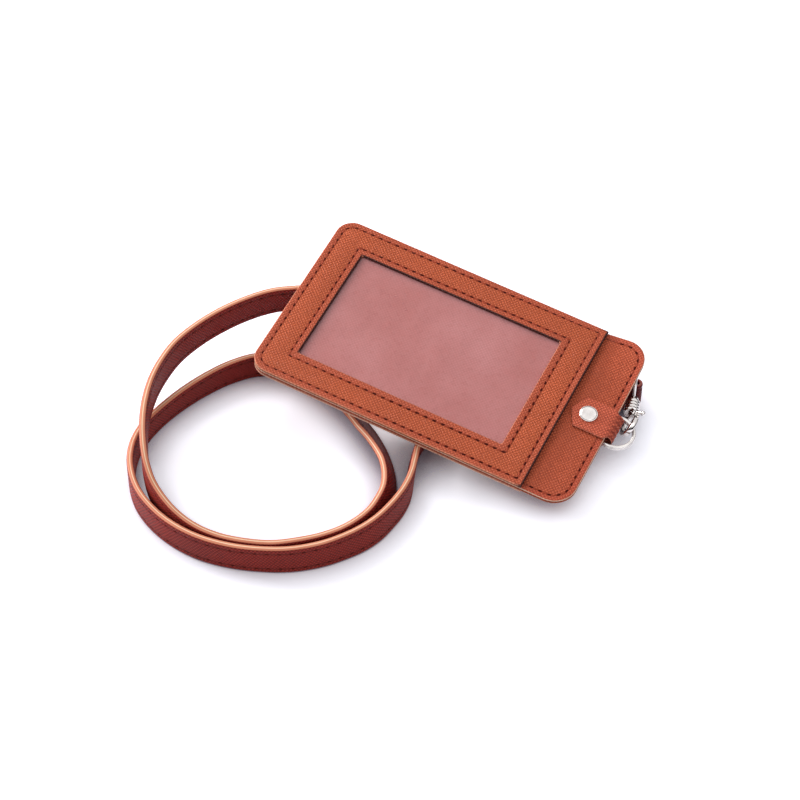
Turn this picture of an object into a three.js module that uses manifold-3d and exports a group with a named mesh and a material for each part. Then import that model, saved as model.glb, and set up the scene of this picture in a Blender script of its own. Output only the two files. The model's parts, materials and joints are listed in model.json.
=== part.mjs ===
// Leather ID card holder lying on its coiled neck strap.
// Millimetres, +Z up, floor at z = 0. Origin under the middle of the holder and its metal fittings.
import * as THREE from "three";
import { mergeVertices } from "three/addons/utils/BufferGeometryUtils.js";
import Module from "manifold-3d";

// Holder: overall outline, window and card slot
const holderLong = 113.2;
const holderWide = 68;
const cornerRadius = 6;
const stripCornerRadius = 8;
const windowLeft = 12.4;
const windowLong = 73;
const windowWide = 45;
const windowCornerRadius = 0.8;
const slotStrip = 15.6; // bare strip between the card slot and the short edge

// Leather, film and board thicknesses
const frontLeather = 1.1;
const coreLeather = 0.5;
const stiffenerThick = 0.3;
const rearLeather = 0.7;
const filmThick = 0.25;
const glueLine = 0.05;
const stiffenerInset = 3;

// Card pocket hollowed in the back of the front panel, and note pocket in the rear panel
const pocketDepth = 0.5;
const pocketBorder = 4.6;
const rearPocketDepth = 0.25;
const filmLap = 4;
const filmCornerRadius = 2;

// Tab that folds over the short edge, with its rivet
const tabLine = 35.2; // distance of the tab's middle from the near long edge
const tabLeather = 0.9;
const tabWide = 12.2;
const tabWaist = 9.5;
const tabTipFromEdge = 14;
const tabTipLong = 3;
const tabLegEnd = 12.2;
const foldReach = 2.7;
const foldCurve = 14; // segments of the fold's half turn
const tabShoulder = 0.5; // from the edge to where the tab starts to narrow
const waistPastFold = 0.6;
const underRing = 0.3; // how far the lower leg stays level under the ring
const stepEase = 0.9;
const rivetFromEdge = 8.2;
const rivetCapRadius = 3;
const rivetCapHigh = 0.85;
const rivetBackRadius = 2.1;
const rivetBackHigh = 0.6;
const rivetBackClear = 0.1;
const rivetPinRadius = 0.6;
const rivetPinEnd = 0.5; // above the back's seat
const rivetPostRadius = 1.1;
const rivetPostBore = 0.85;
const rivetHoleRadius = 1.35;

// Split ring: flat wire wound twice
const ringOuterRadius = 6.3;
const ringWireWide = 1.1;
const ringWireHigh = 0.8;
const ringTurnGap = 0.1;
const ringBeyondEdge = 2;
const ringClear = 0.25;
const ringJog = 50; // degrees over which the wire climbs from one turn to the next
const ringWireRound = 0.18;
const ringStart = 150; // degrees from the tab's line to the wire's lower end
const ringEndsApart = 4; // degrees short of two whole turns

// Strap
const strapWide = 10.5;
const strapThick = 2.2;
const strapEdgeRound = 0.6;
const endLoopLeather = 1.2;
const endLoopWide = 9.8;
const endLoopLong = 14;
const loopSlack = 0.3; // how far the loop stands off the bar at its turn
const endGap = 0.2;

// Swivel clasp, along its own axis from the strap bar to the nose
const barRadius = 0.6;
const eyeInside = 10.4;
const eyeDeep = 3.1;
const swivelPinRadius = 0.7;
const swivelHeadRadius = 1.4;
const swivelHeadHigh = 0.8;
const swivelClear = 0.3;
const barrelStart = 4.9;
const barrelEnd = 10.7;
const barrelRadius = 2.6;
const barrelGroove = 0.45;
const barrelRibs = 4;
const barrelWall = 0.7;
const clawInside = 2.9;
const clawWire = 1.7;
const clawThick = 1.6;
const claspRoll = 60; // degrees that the lever's side of the clasp is turned up
const hookedAngle = 65; // where the claw holds the ring, in degrees round it from the tab's line
const leverThick = 1;
const leverPinRadius = 0.4;
const leverClear = 0.15;
const knobRadius = 0.9;

// Where the holder and the clasp lie
const leftEndTilt = 6.5; // degrees, left end up
const farEdgeTilt = 6.3; // degrees, far edge up
const nearCornerHigh = 5.365;
const barPlace = [holderLong - 0.2, 55.4, 6.31];

// The clasp below props up the strip's far corner: its sheets bend along lines across that corner
const cornerLift = 2.6;
const liftShares = [0, 0.24, 0.52, 0.78, 1]; // share of the lift at each bend line
const bendWay = new THREE.Vector2(1, 0.62).normalize(); // across the bend lines, towards the corner
const bendLap = 0.05; // overlap of the bands where they are joined again

// Tools that cut, and how finely curves are drawn
const overcut = 1; // how far a cutting block passes the surface that it opens
const cutThrough = 20; // half height of a tool that cuts right through
const sheetCurve = 10; // segments of a quarter turn on sheets
const wireSides = 14;
const turnedSides = 24;

const slotLong = holderLong - slotStrip;
const coreBottom = rearLeather + glueLine;
const coreThick = 2 * coreLeather + stiffenerThick + 2 * glueLine;
const coreTop = coreBottom + coreThick;
const frontBottom = coreTop + glueLine;
const rivetAlong = holderLong - rivetFromEdge;
const degrees = Math.PI / 180;
const bendStart = slotLong * bendWay.x + holderWide * bendWay.y;
const bendEnd = holderLong * bendWay.x + holderWide * bendWay.y;

const wasm = await Module();
wasm.setup();

// Solids from geometries and back, for joins and cuts
function solid(geometry) {
  const plain = geometry.clone();
  plain.deleteAttribute("normal");
  plain.deleteAttribute("uv");
  const merged = mergeVertices(plain, 1e-4);
  return new wasm.Manifold(
    new wasm.Mesh({
      numProp: 3,
      vertProperties: merged.attributes.position.array,
      triVerts: new Uint32Array(merged.index.array),
    }),
  );
}

function geometryOf(made) {
  const mesh = made.getMesh();
  const geometry = new THREE.BufferGeometry();
  geometry.setAttribute("position", new THREE.BufferAttribute(mesh.vertProperties, 3));
  geometry.setIndex(new THREE.BufferAttribute(mesh.triVerts, 1));
  const faceted = geometry.toNonIndexed();
  faceted.computeVertexNormals();
  return faceted;
}

function cut(geometry, ...tools) {
  return geometryOf(tools.reduce((left, tool) => left.subtract(solid(tool)), solid(geometry)));
}

function join(...pieces) {
  return geometryOf(pieces.map(solid).reduce((all, piece) => all.add(piece)));
}

function common(geometry, other) {
  return geometryOf(solid(geometry).intersect(solid(other)));
}

// Outline of a rectangle with its own radius at each end of the long axis
function rectangle(left, near, right, far, leftRadius, rightRadius) {
  const shape = new THREE.Shape();
  shape.moveTo(left + leftRadius, near);
  shape.lineTo(right - rightRadius, near);
  if (rightRadius) shape.absarc(right - rightRadius, near + rightRadius, rightRadius, -Math.PI / 2, 0);
  else shape.lineTo(right, near);
  shape.lineTo(right, far - rightRadius);
  if (rightRadius) shape.absarc(right - rightRadius, far - rightRadius, rightRadius, 0, Math.PI / 2);
  shape.lineTo(left + leftRadius, far);
  if (leftRadius) shape.absarc(left + leftRadius, far - leftRadius, leftRadius, Math.PI / 2, Math.PI);
  shape.lineTo(left, near + leftRadius);
  if (leftRadius) shape.absarc(left + leftRadius, near + leftRadius, leftRadius, Math.PI, 1.5 * Math.PI);
  return shape;
}

function slab(shape, bottom, thick, segments = sheetCurve) {
  const made = new THREE.ExtrudeGeometry(shape, {
    depth: thick,
    bevelEnabled: false,
    curveSegments: segments,
  });
  return made.translate(0, 0, bottom);
}

function box(left, near, bottom, right, far, top) {
  const made = new THREE.BoxGeometry(right - left, far - near, top - bottom);
  return made.translate((left + right) / 2, (near + far) / 2, (bottom + top) / 2);
}

// Upright round bar or hole
function post(radius, bottom, top, along, across, sides = turnedSides) {
  const made = new THREE.CylinderGeometry(radius, radius, top - bottom, sides);
  return made.rotateX(Math.PI / 2).translate(along, across, (bottom + top) / 2);
}

// Profile of [radius, height] pairs turned about an upright axis
function turned(profile, along, across, sides = 32) {
  const points = profile.map(([radius, height]) => new THREE.Vector2(radius, height));
  const made = new THREE.LatheGeometry(points, sides);
  return made.rotateX(Math.PI / 2).translate(along, across, 0);
}

// Section of a flat strip with rounded edges: x is its thickness, y its width
function stripSection(thick, wide, round) {
  const shape = new THREE.Shape();
  const halfThick = thick / 2;
  const halfWide = wide / 2;
  shape.moveTo(halfThick, -halfWide + round);
  shape.lineTo(halfThick, halfWide - round);
  shape.lineTo(halfThick - round, halfWide);
  shape.lineTo(-halfThick + round, halfWide);
  shape.lineTo(-halfThick, halfWide - round);
  shape.lineTo(-halfThick, -halfWide + round);
  shape.lineTo(-halfThick + round, -halfWide);
  shape.lineTo(halfThick - round, -halfWide);
  shape.closePath();
  return shape;
}

// A curve whose section keeps its width along a given direction instead of twisting freely
class StripPath extends THREE.Curve {
  constructor(pointAt, widthAt) {
    super();
    this.pointAt = pointAt;
    this.widthAt = widthAt;
  }

  getPoint(t, target = new THREE.Vector3()) {
    return target.copy(this.pointAt(t));
  }

  computeFrenetFrames(segments) {
    const frames = { tangents: [], normals: [], binormals: [] };
    for (let i = 0; i <= segments; i++) {
      const share = this.getUtoTmapping(i / segments);
      const tangent = this.getTangent(share);
      const thickWay = this.widthAt(share, tangent).clone().cross(tangent).normalize();
      frames.tangents.push(tangent);
      frames.normals.push(thickWay);
      frames.binormals.push(tangent.clone().cross(thickWay));
    }
    return frames;
  }
}

function strip(path, section, steps) {
  return new THREE.ExtrudeGeometry(section, { steps, extrudePath: path, bevelEnabled: false });
}

const leather = { color: 0xb85f3c, roughness: 0.62, metalness: 0 };
const innerLeather = { color: 0x8c3a2a, roughness: 0.75, metalness: 0 };
const nickel = { color: 0xd9d6d2, roughness: 0.18, metalness: 1 };
const looks = {
  leather: new THREE.MeshStandardMaterial(leather),
  innerLeather: new THREE.MeshStandardMaterial(innerLeather),
  nickel: new THREE.MeshStandardMaterial(nickel),
  film: new THREE.MeshStandardMaterial({ color: 0xc9a2a0, roughness: 0.25, transparent: true, opacity: 0.5 }),
  board: new THREE.MeshStandardMaterial({ color: 0x9a8a78, roughness: 0.9 }),
};

function piece(name, geometry, look) {
  const mesh = new THREE.Mesh(geometry, looks[look]);
  mesh.name = name;
  return mesh;
}

// Holder, in its own frame: x from the left end to the tab, y from the near edge, z up from its back
const holder = new THREE.Group();
const rivetHole = post(rivetHoleRadius, -cutThrough, cutThrough, rivetAlong, tabLine);

function frontPanel() {
  const shape = rectangle(0, 0, slotLong, holderWide, cornerRadius, 0);
  const near = (holderWide - windowWide) / 2;
  const windowRight = windowLeft + windowLong;
  shape.holes.push(
    rectangle(windowLeft, near, windowRight, near + windowWide, windowCornerRadius, windowCornerRadius),
  );
  const pocket = box(
    pocketBorder,
    pocketBorder,
    frontBottom - overcut,
    slotLong + overcut,
    holderWide - pocketBorder,
    frontBottom + pocketDepth,
  );
  return cut(slab(shape, frontBottom, frontLeather), pocket);
}

function windowFilm() {
  const near = (holderWide - windowWide) / 2 - filmLap;
  const right = windowLeft + windowLong + filmLap;
  const shape = rectangle(
    windowLeft - filmLap,
    near,
    right,
    holderWide - near,
    filmCornerRadius,
    filmCornerRadius,
  );
  return slab(shape, frontBottom + pocketDepth - glueLine - filmThick, filmThick, 4);
}

// A flat sheet parted at the bend lines, each band tilted, and joined again with a hair of overlap
function bentUp(geometry) {
  const flat = solid(geometry);
  const bends = liftShares.length - 1;
  const bandWide = (bendEnd - bendStart) / bends;
  let bent = flat.trimByPlane([-bendWay.x, -bendWay.y, 0], -bendStart);
  for (let i = 0; i < bends; i++) {
    const line = bendStart + i * bandWide;
    let band = flat.trimByPlane([bendWay.x, bendWay.y, 0], line - bendLap);
    if (i < bends - 1) band = band.trimByPlane([-bendWay.x, -bendWay.y, 0], -line - bandWide);
    const tilted = band.warp((point) => {
      const across = point[0] * bendWay.x + point[1] * bendWay.y;
      const share = THREE.MathUtils.lerp(liftShares[i], liftShares[i + 1], (across - line) / bandWide);
      point[2] += cornerLift * share;
    });
    bent = bent.add(tilted);
  }
  return geometryOf(bent);
}

function coreSheet(bottom) {
  const shape = rectangle(0, 0, holderLong, holderWide, cornerRadius, stripCornerRadius);
  return bentUp(cut(slab(shape, bottom, coreLeather), rivetHole));
}

function stiffener() {
  const inset = stiffenerInset;
  const shape = rectangle(
    inset,
    inset,
    holderLong - inset,
    holderWide - inset,
    cornerRadius - inset,
    stripCornerRadius - inset,
  );
  return bentUp(cut(slab(shape, coreBottom + coreLeather + glueLine, stiffenerThick), rivetHole));
}

function rearPocketPanel() {
  const shape = rectangle(0, 0, slotLong, holderWide, cornerRadius, 0);
  const pocket = box(
    pocketBorder,
    pocketBorder,
    rearLeather - rearPocketDepth,
    slotLong + overcut,
    holderWide - pocketBorder,
    rearLeather + overcut,
  );
  return cut(slab(shape, 0, rearLeather), pocket);
}

// The tab's side view is a ribbon that lies on the core, turns round the ring and comes back below it
const tabTopLine = coreTop + glueLine + tabLeather / 2;
const tabRearLine = coreBottom - glueLine - tabLeather / 2;
const ringHigh = 2 * ringWireHigh + ringTurnGap;
const ringLevel = coreBottom - ringClear - ringHigh / 2;
const tabBelowRing = ringLevel - ringHigh / 2 - ringClear - tabLeather / 2;
const foldRadius = (tabTopLine - tabBelowRing) / 2;
const foldLevel = (tabTopLine + tabBelowRing) / 2;
const foldAlong = holderLong + foldReach - foldRadius - tabLeather / 2;
const ringAlong = holderLong + ringBeyondEdge;

function closureTab() {
  const line = new THREE.Path();
  const stepStart = rivetAlong + rivetBackRadius + rivetBackClear;
  const stepEnd = ringAlong - ringOuterRadius;
  const tip = holderLong - tabTipFromEdge;
  line.moveTo(tip, tabTopLine);
  line.lineTo(foldAlong, tabTopLine);
  line.absarc(foldAlong, foldLevel, foldRadius, Math.PI / 2, -Math.PI / 2, true);
  line.lineTo(stepEnd + underRing, tabBelowRing);
  line.bezierCurveTo(stepEnd - stepEase, tabBelowRing, stepStart + stepEase, tabRearLine, stepStart, tabRearLine);
  line.lineTo(holderLong - tabLegEnd, tabRearLine);
  const middle = line.getPoints(foldCurve);
  const outer = [];
  const inner = [];
  middle.forEach((point, i) => {
    const before = middle[Math.max(i - 1, 0)];
    const after = middle[Math.min(i + 1, middle.length - 1)];
    const way = after.clone().sub(before).normalize();
    const side = new THREE.Vector2(-way.y, way.x).multiplyScalar(tabLeather / 2);
    outer.push(point.clone().add(side));
    inner.push(point.clone().sub(side));
  });
  const ribbon = new THREE.Shape([...inner, ...outer.reverse()]);
  const sideView = slab(ribbon, -tabWide, 2 * tabWide).rotateX(Math.PI / 2).translate(0, tabLine, 0);
  const plan = new THREE.Shape();
  const shoulder = holderLong - tabShoulder;
  const waist = foldAlong + waistPastFold;
  const halfWide = tabWide / 2;
  const halfWaist = tabWaist / 2;
  plan.moveTo(tip, tabLine);
  plan.lineTo(tip + tabTipLong, tabLine - halfWide);
  plan.lineTo(shoulder, tabLine - halfWide);
  plan.lineTo(waist, tabLine - halfWaist);
  plan.lineTo(holderLong + 2 * foldReach, tabLine - halfWaist);
  plan.lineTo(holderLong + 2 * foldReach, tabLine + halfWaist);
  plan.lineTo(waist, tabLine + halfWaist);
  plan.lineTo(shoulder, tabLine + halfWide);
  plan.lineTo(tip + tabTipLong, tabLine + halfWide);
  plan.closePath();
  return cut(common(sideView, slab(plan, -cutThrough, 2 * cutThrough)), rivetHole);
}

const capSeat = tabTopLine + tabLeather / 2 + glueLine;
const backSeat = tabRearLine - tabLeather / 2 - glueLine;

function rivetCap() {
  const rim = rivetCapRadius;
  const high = rivetCapHigh;
  return turned(
    [
      [0, backSeat + rivetPinEnd],
      [rivetPinRadius, backSeat + rivetPinEnd],
      [rivetPinRadius, capSeat],
      [rim - 0.25, capSeat],
      [rim, capSeat + 0.25 * high],
      [0.93 * rim, capSeat + 0.62 * high],
      [0.72 * rim, capSeat + 0.88 * high],
      [0.4 * rim, capSeat + 0.98 * high],
      [0, capSeat + high],
    ],
    rivetAlong,
    tabLine,
    40,
  );
}

function rivetBack() {
  return turned(
    [
      [0, backSeat - rivetBackHigh],
      [0.7 * rivetBackRadius, backSeat - 0.9 * rivetBackHigh],
      [rivetBackRadius, backSeat - 0.35 * rivetBackHigh],
      [rivetBackRadius - 0.15, backSeat],
      [rivetPostRadius, backSeat],
      [rivetPostRadius, capSeat - 0.3],
      [rivetPostBore, capSeat - 0.3],
      [rivetPostBore, backSeat + 0.2],
      [0, backSeat + 0.2],
    ],
    rivetAlong,
    tabLine,
  );
}

// Split ring: the wire goes round twice and steps from the lower turn to the upper one
function splitRing() {
  const radius = ringOuterRadius - ringWireWide / 2;
  const climb = ringWireHigh + ringTurnGap;
  const start = ringStart * degrees;
  const sweepAngle = (2 * 360 - ringEndsApart) * degrees;
  const jog = ringJog * degrees;
  const levelAt = (angle) => {
    const share = THREE.MathUtils.clamp((angle - sweepAngle / 2) / jog + 0.5, 0, 1);
    return climb * (THREE.MathUtils.smoothstep(share, 0, 1) - 0.5);
  };
  const pointAt = (t) => {
    const angle = t * sweepAngle;
    const x = radius * Math.cos(start + angle);
    const y = radius * Math.sin(start + angle);
    return new THREE.Vector3(x, y, levelAt(angle));
  };
  const path = new StripPath(pointAt, () => new THREE.Vector3(0, 0, 1));
  path.arcLengthDivisions = 600;
  return strip(path, stripSection(ringWireWide, ringWireHigh, ringWireRound), 84);
}

holder.add(
  piece("rear_pocket_panel", rearPocketPanel(), "leather"),
  piece("rear_sheet", coreSheet(coreBottom), "innerLeather"),
  piece("stiffener", stiffener(), "board"),
  piece("front_sheet", coreSheet(coreTop - coreLeather), "leather"),
  piece("window_film", windowFilm(), "film"),
  piece("front_panel", frontPanel(), "leather"),
  piece("closure_tab", closureTab(), "leather"),
  piece("rivet_cap", rivetCap(), "nickel"),
  piece("rivet_back", rivetBack(), "nickel"),
);
const ring = piece("split_ring", splitRing(), "nickel");
ring.position.set(ringAlong, tabLine, ringLevel);
holder.add(ring);
holder.rotation.set(farEdgeTilt * degrees, leftEndTilt * degrees, 0);
const lowCorner = new THREE.Vector3(holderLong, 0, 0).applyEuler(holder.rotation);
holder.position.set(holderLong, 0, nearCornerHigh).sub(lowCorner);
holder.updateMatrixWorld(true);

// Eye frame: x away from the holder, y along the clasp towards its nose, z down the bar
const ringRadius = ringOuterRadius - ringWireWide / 2;
const hookedAt = holder.localToWorld(
  new THREE.Vector3(
    ringAlong + ringRadius * Math.cos(hookedAngle * degrees),
    tabLine + ringRadius * Math.sin(hookedAngle * degrees),
    ringLevel,
  ),
);
const barAt = new THREE.Vector3(...barPlace);
const along = hookedAt.clone().sub(barAt);
const hookDistance = along.length();
along.normalize();
const barDown = new THREE.Vector3(0, 0, -1).addScaledVector(along, along.z).normalize();
const eyeSide = along.clone().cross(barDown);
console.log("bar to hooked wire", hookDistance.toFixed(2));

// Round wire or rod between two points of a frame
function rod(from, to, radius, sides = wireSides) {
  const start = new THREE.Vector3(...from);
  const way = new THREE.Vector3(...to).sub(start);
  const made = new THREE.CylinderGeometry(radius, radius, way.length(), sides);
  const turn = new THREE.Quaternion().setFromUnitVectors(new THREE.Vector3(0, 1, 0), way.clone().normalize());
  const middle = start.addScaledVector(way, 0.5);
  return made.applyQuaternion(turn).translate(middle.x, middle.y, middle.z);
}

function ball(radius, at, sides = wireSides) {
  return new THREE.SphereGeometry(radius, sides, sides / 2).translate(...at);
}

// Flat piece in the clasp's own plane, with its thickness centred on that plane
function flat(shape, thick, level = 0, segments = sheetCurve) {
  return slab(shape, level - thick / 2, thick, segments);
}

// Swivel eye: a wire frame whose bar the strap loop goes round, and the headed pin that turns in the barrel
function swivelEye() {
  const top = eyeInside / 2 + barRadius;
  const corners = [
    [0, 0, -top],
    [0, 0, top],
    [0, eyeDeep, top],
    [0, eyeDeep, -top],
  ];
  const frame = corners.flatMap((corner, i) => [
    rod(corner, corners[(i + 1) % corners.length], barRadius),
    ball(barRadius, corner),
  ]);
  const bossRadius = barrelRadius - barrelWall;
  const headStart = barrelStart + barrelWall + swivelClear;
  const pin = new THREE.LatheGeometry(
    [
      [0, eyeDeep - 0.2],
      [bossRadius - 0.5, eyeDeep - 0.2],
      [bossRadius, eyeDeep + 0.5],
      [bossRadius, barrelStart - swivelClear],
      [swivelPinRadius, barrelStart - swivelClear],
      [swivelPinRadius, headStart],
      [swivelHeadRadius, headStart],
      [swivelHeadRadius, headStart + swivelHeadHigh],
      [0, headStart + swivelHeadHigh],
    ].map(([radius, y]) => new THREE.Vector2(radius, y)),
    24,
  );
  return join(...frame, pin);
}

// Ribbed barrel with a stepped bore for the swivel pin
function barrel() {
  const neck = swivelPinRadius + swivelClear;
  const chamber = swivelHeadRadius + swivelClear;
  const chamberEnd = barrelStart + barrelWall + 2 * swivelClear + swivelHeadHigh;
  const pitch = (barrelEnd - barrelStart) / barrelRibs;
  const profile = [
    [0, chamberEnd],
    [chamber, chamberEnd],
    [chamber, barrelStart + barrelWall],
    [neck, barrelStart + barrelWall],
    [neck, barrelStart],
  ];
  for (let i = 0; i < barrelRibs; i++) {
    const start = barrelStart + i * pitch;
    profile.push([barrelRadius - barrelGroove, start]);
    profile.push([barrelRadius, start + 0.3 * pitch]);
    profile.push([barrelRadius, start + 0.7 * pitch]);
    profile.push([barrelRadius - barrelGroove, start + pitch]);
  }
  profile.push([0, barrelEnd]);
  return new THREE.LatheGeometry(
    profile.map(([radius, y]) => new THREE.Vector2(radius, y)),
    24,
  );
}

const clawRadius = clawInside + clawWire / 2;
const clawAt = hookDistance;
const leverAngle = -50 * degrees;
const leverPivot = [clawRadius * Math.cos(leverAngle), clawAt + clawRadius * Math.sin(leverAngle)];
const earThick = 0.5;
const slotThick = leverThick + 2 * leverClear;
const hookTipAngle = 20 * degrees;
const hookRootAngle = -70 * degrees;
const hubClear = 0.35;
const earRim = 0.2;
const gateInset = 0.2; // each side of the gate, from the claw's own width
const leverHub = 1.1;
const gateTipGap = 12 * degrees; // room for the tip of the gate to swing inwards past the hook

// Band of the claw between two angles, clockwise from the first
function clawBand(from, to, inside, outside) {
  const shape = new THREE.Shape();
  shape.absarc(0, clawAt, outside, from, to, true);
  shape.absarc(0, clawAt, inside, to, from, false);
  shape.closePath();
  return shape;
}

function disc(radius, at, thick, level = 0, sides = turnedSides) {
  return post(radius, level - thick / 2, level + thick / 2, at[0], at[1], sides);
}

function claspBody() {
  const rim = 0.3;
  const band = clawBand(hookRootAngle, hookTipAngle, clawInside + rim, clawInside + clawWire - rim);
  const hook = new THREE.ExtrudeGeometry(band, {
    depth: clawThick - 2 * rim,
    bevelThickness: rim,
    bevelSize: rim,
    bevelSegments: 2,
    curveSegments: 30,
  }).translate(0, 0, rim - clawThick / 2);
  const shoulder = new THREE.Shape();
  shoulder.moveTo(-2, barrelEnd - 0.4);
  shoulder.lineTo(1.4, barrelEnd - 0.4);
  shoulder.lineTo(1, clawAt - clawInside - 0.4);
  shoulder.lineTo(-2.6, clawAt - clawInside - 0.4);
  shoulder.closePath();
  const ear = new THREE.Shape();
  ear.moveTo(0.2, barrelEnd - 0.5);
  ear.lineTo(2, barrelEnd - 0.5);
  ear.absarc(leverPivot[0], leverPivot[1], leverHub + earRim, -0.3 * Math.PI, 0.8 * Math.PI);
  ear.lineTo(0.2, clawAt - clawInside - 0.5);
  ear.closePath();
  const earLevel = (slotThick + earThick) / 2;
  const body = cut(join(hook, flat(shoulder, clawThick)), disc(leverHub + hubClear, leverPivot, cutThrough));
  return cut(
    join(barrel(), body, flat(ear, earThick, earLevel), flat(ear, earThick, -earLevel)),
    disc(leverPinRadius + leverClear, leverPivot, cutThrough, 0, 16),
  );
}

// Gate, thumb stem and ball knob in one lever
const stemRadius = 0.45;
const stemRoot = [leverPivot[0] + 0.6, leverPivot[1] + 0.4, 0];
const stemBend = [leverPivot[0] + 2, leverPivot[1] + 0.8, 0];
const knobAt = [leverPivot[0] + 3.1, leverPivot[1] + 1.7, 1.3];

function triggerLever() {
  const gate = clawBand(hookTipAngle - gateTipGap, leverAngle, clawInside + gateInset, clawInside + clawWire - gateInset);
  const lever = join(
    flat(gate, leverThick, 0, 16),
    disc(leverHub, leverPivot, leverThick),
    rod(stemRoot, stemBend, stemRadius, 10),
    ball(stemRadius, stemBend, 10),
    rod(stemBend, knobAt, stemRadius, 10),
    ball(knobRadius, knobAt),
  );
  return cut(lever, disc(leverPinRadius + leverClear, leverPivot, cutThrough, 0, 16));
}

function leverPin() {
  return disc(leverPinRadius, leverPivot, slotThick + 2 * earThick, 0, 16);
}

const eye = new THREE.Group();
eye.position.copy(barAt);
eye.quaternion.setFromRotationMatrix(new THREE.Matrix4().makeBasis(eyeSide, along, barDown));
eye.add(piece("swivel_eye", swivelEye(), "nickel"));
const clasp = new THREE.Group();
clasp.rotation.y = claspRoll * degrees;
clasp.add(
  piece("clasp_body", claspBody(), "nickel"),
  piece("lever_pin", leverPin(), "nickel"),
  piece("trigger_lever", triggerLever(), "nickel"),
);
eye.add(clasp);

// Leather loop that goes round the bar and holds both strap ends between its legs
function strapEndLoop() {
  const legApart = strapThick + endGap + endLoopLeather / 2 + endGap;
  const turnRadius = barRadius + swivelClear + endLoopLeather / 2;
  const halfLoop = [
    [-endLoopLong, legApart],
    [-0.75 * endLoopLong, legApart],
    [-0.5 * endLoopLong, legApart],
    [-0.26 * endLoopLong, 0.5 * (legApart + turnRadius) + 0.1],
    [-0.1, turnRadius],
    [0.75 * turnRadius, 0.95 * turnRadius],
  ];
  const whole = [
    ...halfLoop,
    [turnRadius + loopSlack, 0],
    ...halfLoop.map(([x, y]) => [x, -y]).reverse(),
  ].map(([x, y]) => new THREE.Vector3(x, y, 0));
  const line = new THREE.CatmullRomCurve3(whole, false, "centripetal");
  const path = new StripPath((t) => line.getPoint(t), () => new THREE.Vector3(0, 0, 1));
  path.arcLengthDivisions = 400;
  return strip(path, stripSection(endLoopLeather, endLoopWide, 0.3), 44);
}
eye.add(piece("strap_end_loop", strapEndLoop(), "leather"));

// Strap on its edge: [x, y, height of its middle, lean in degrees towards the left of its run]
const strapRoute = [
  [106.42, 54.71, 6.10, -10],
  [103.07, 53.70, 6.10, -10],
  [99.24, 52.54, 6.10, -10],
  [89.5, 49.7, 6.4, -4],
  [80, 47.9, 7.2, 0],
  [66, 49.0, 8.6, 0],
  [46, 51.6, 11.0, 0],
  [26, 50.0, 13.6, 0],
  [10.5, 43.8, 15.6, 0],
  [-0.3, 36.0, 16.6, 0],
  [-7.5, 31.0, 16.6, 0],
  [-13.3, 24.2, 16.6, 0],
  [-18.7, 15.0, 16.55, -1],
  [-22.5, 5.3, 16.5, -1],
  [-24.5, -3.8, 16.45, -2],
  [-24.5, -12.6, 16.4, -2],
  [-23.2, -21.1, 16.4, -1],
  [-20.6, -29.4, 16.4, 0],
  [-17.1, -37.0, 16.0, 0],
  [-13.1, -43.7, 14.8, 0],
  [-8.7, -49.6, 12.8, 1],
  [-3.8, -54.2, 10.6, 2],
  [2.1, -57.6, 8.8, 2],
  [8.4, -59.8, 7.2, 2],
  [15.4, -60.8, 6.1, 1],
  [23.0, -60.4, 5.5, 0],
  [31.6, -58.4, 5.35, 0],
  [39.4, -55.2, 5.3, 0],
  [46.4, -50.3, 5.31, 1],
  [51.3, -46.1, 5.36, 3],
  [55.6, -41.1, 5.39, 5],
  [58.7, -35.7, 5.41, 8],
  [60.6, -29.8, 5.41, 11],
  [60.9, -24.0, 5.41, 13],
  [60.3, -18.8, 5.41, 15],
  [58.2, -13.6, 5.40, 17],
  [54.6, -8.2, 5.34, 21],
  [48.6, -2.4, 5.2, 30],
  [41.7, 2.6, 4.9, 38],
  [33.5, 7.4, 4.95, 37],
  [25.0, 11.4, 5.3, 26],
  [16.4, 14.3, 5.42, 12],
  [8.2, 15.4, 5.38, 5],
  [1.4, 14.2, 5.35, 3],
  [-4.4, 11.2, 5.35, 3],
  [-10.3, 4.3, 5.36, 4],
  [-14.7, -3.9, 5.38, 5],
  [-18.0, -12.4, 5.39, 6],
  [-20.1, -20.3, 5.39, 6],
  [-21.2, -27.1, 5.36, 4],
  [-21.4, -32.8, 5.33, 1],
  [-20.4, -39.0, 5.3, 0],
  [-17.9, -45.1, 5.3, 0],
  [-14.0, -50.7, 5.32, 1],
  [-8.9, -55.6, 5.34, 2],
  [-3.2, -59.1, 5.35, 3],
  [3.5, -61.8, 5.35, 3],
  [10.9, -63.4, 5.35, 3],
  [19.0, -63.7, 5.35, 3],
  [28.0, -62.3, 5.34, 2],
  [36.6, -59.5, 5.34, 2],
  [45.3, -55.2, 5.34, 3],
  [52.8, -49.2, 5.36, 4],
  [57.6, -43.5, 5.38, 5],
  [61.2, -38.0, 5.41, 7],
  [63.7, -32.0, 5.41, 7],
  [64.9, -26.2, 5.38, 5],
  [65.5, -20.8, 5.36, 4],
  [65.3, -15.3, 5.34, 1],
  [64.1, -9.9, 5.35, -4],
  [62.3, -5.0, 5.38, -9],
  [60.6, 0.3, 5.4, -11],
  [59.7, 7.2, 5.36, -6],
  [60.3, 15.6, 5.3, 0],
  [63.7, 25.4, 5.3, 0],
  [70.8, 34.6, 5.3, 0],
  [80.5, 41.2, 5.7, 2],
  [90.5, 46.3, 6.3, 6],
  [99.95, 50.18, 6.52, 10],
  [103.78, 51.34, 6.52, 10],
  [107.13, 52.35, 6.52, 10],
];

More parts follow.
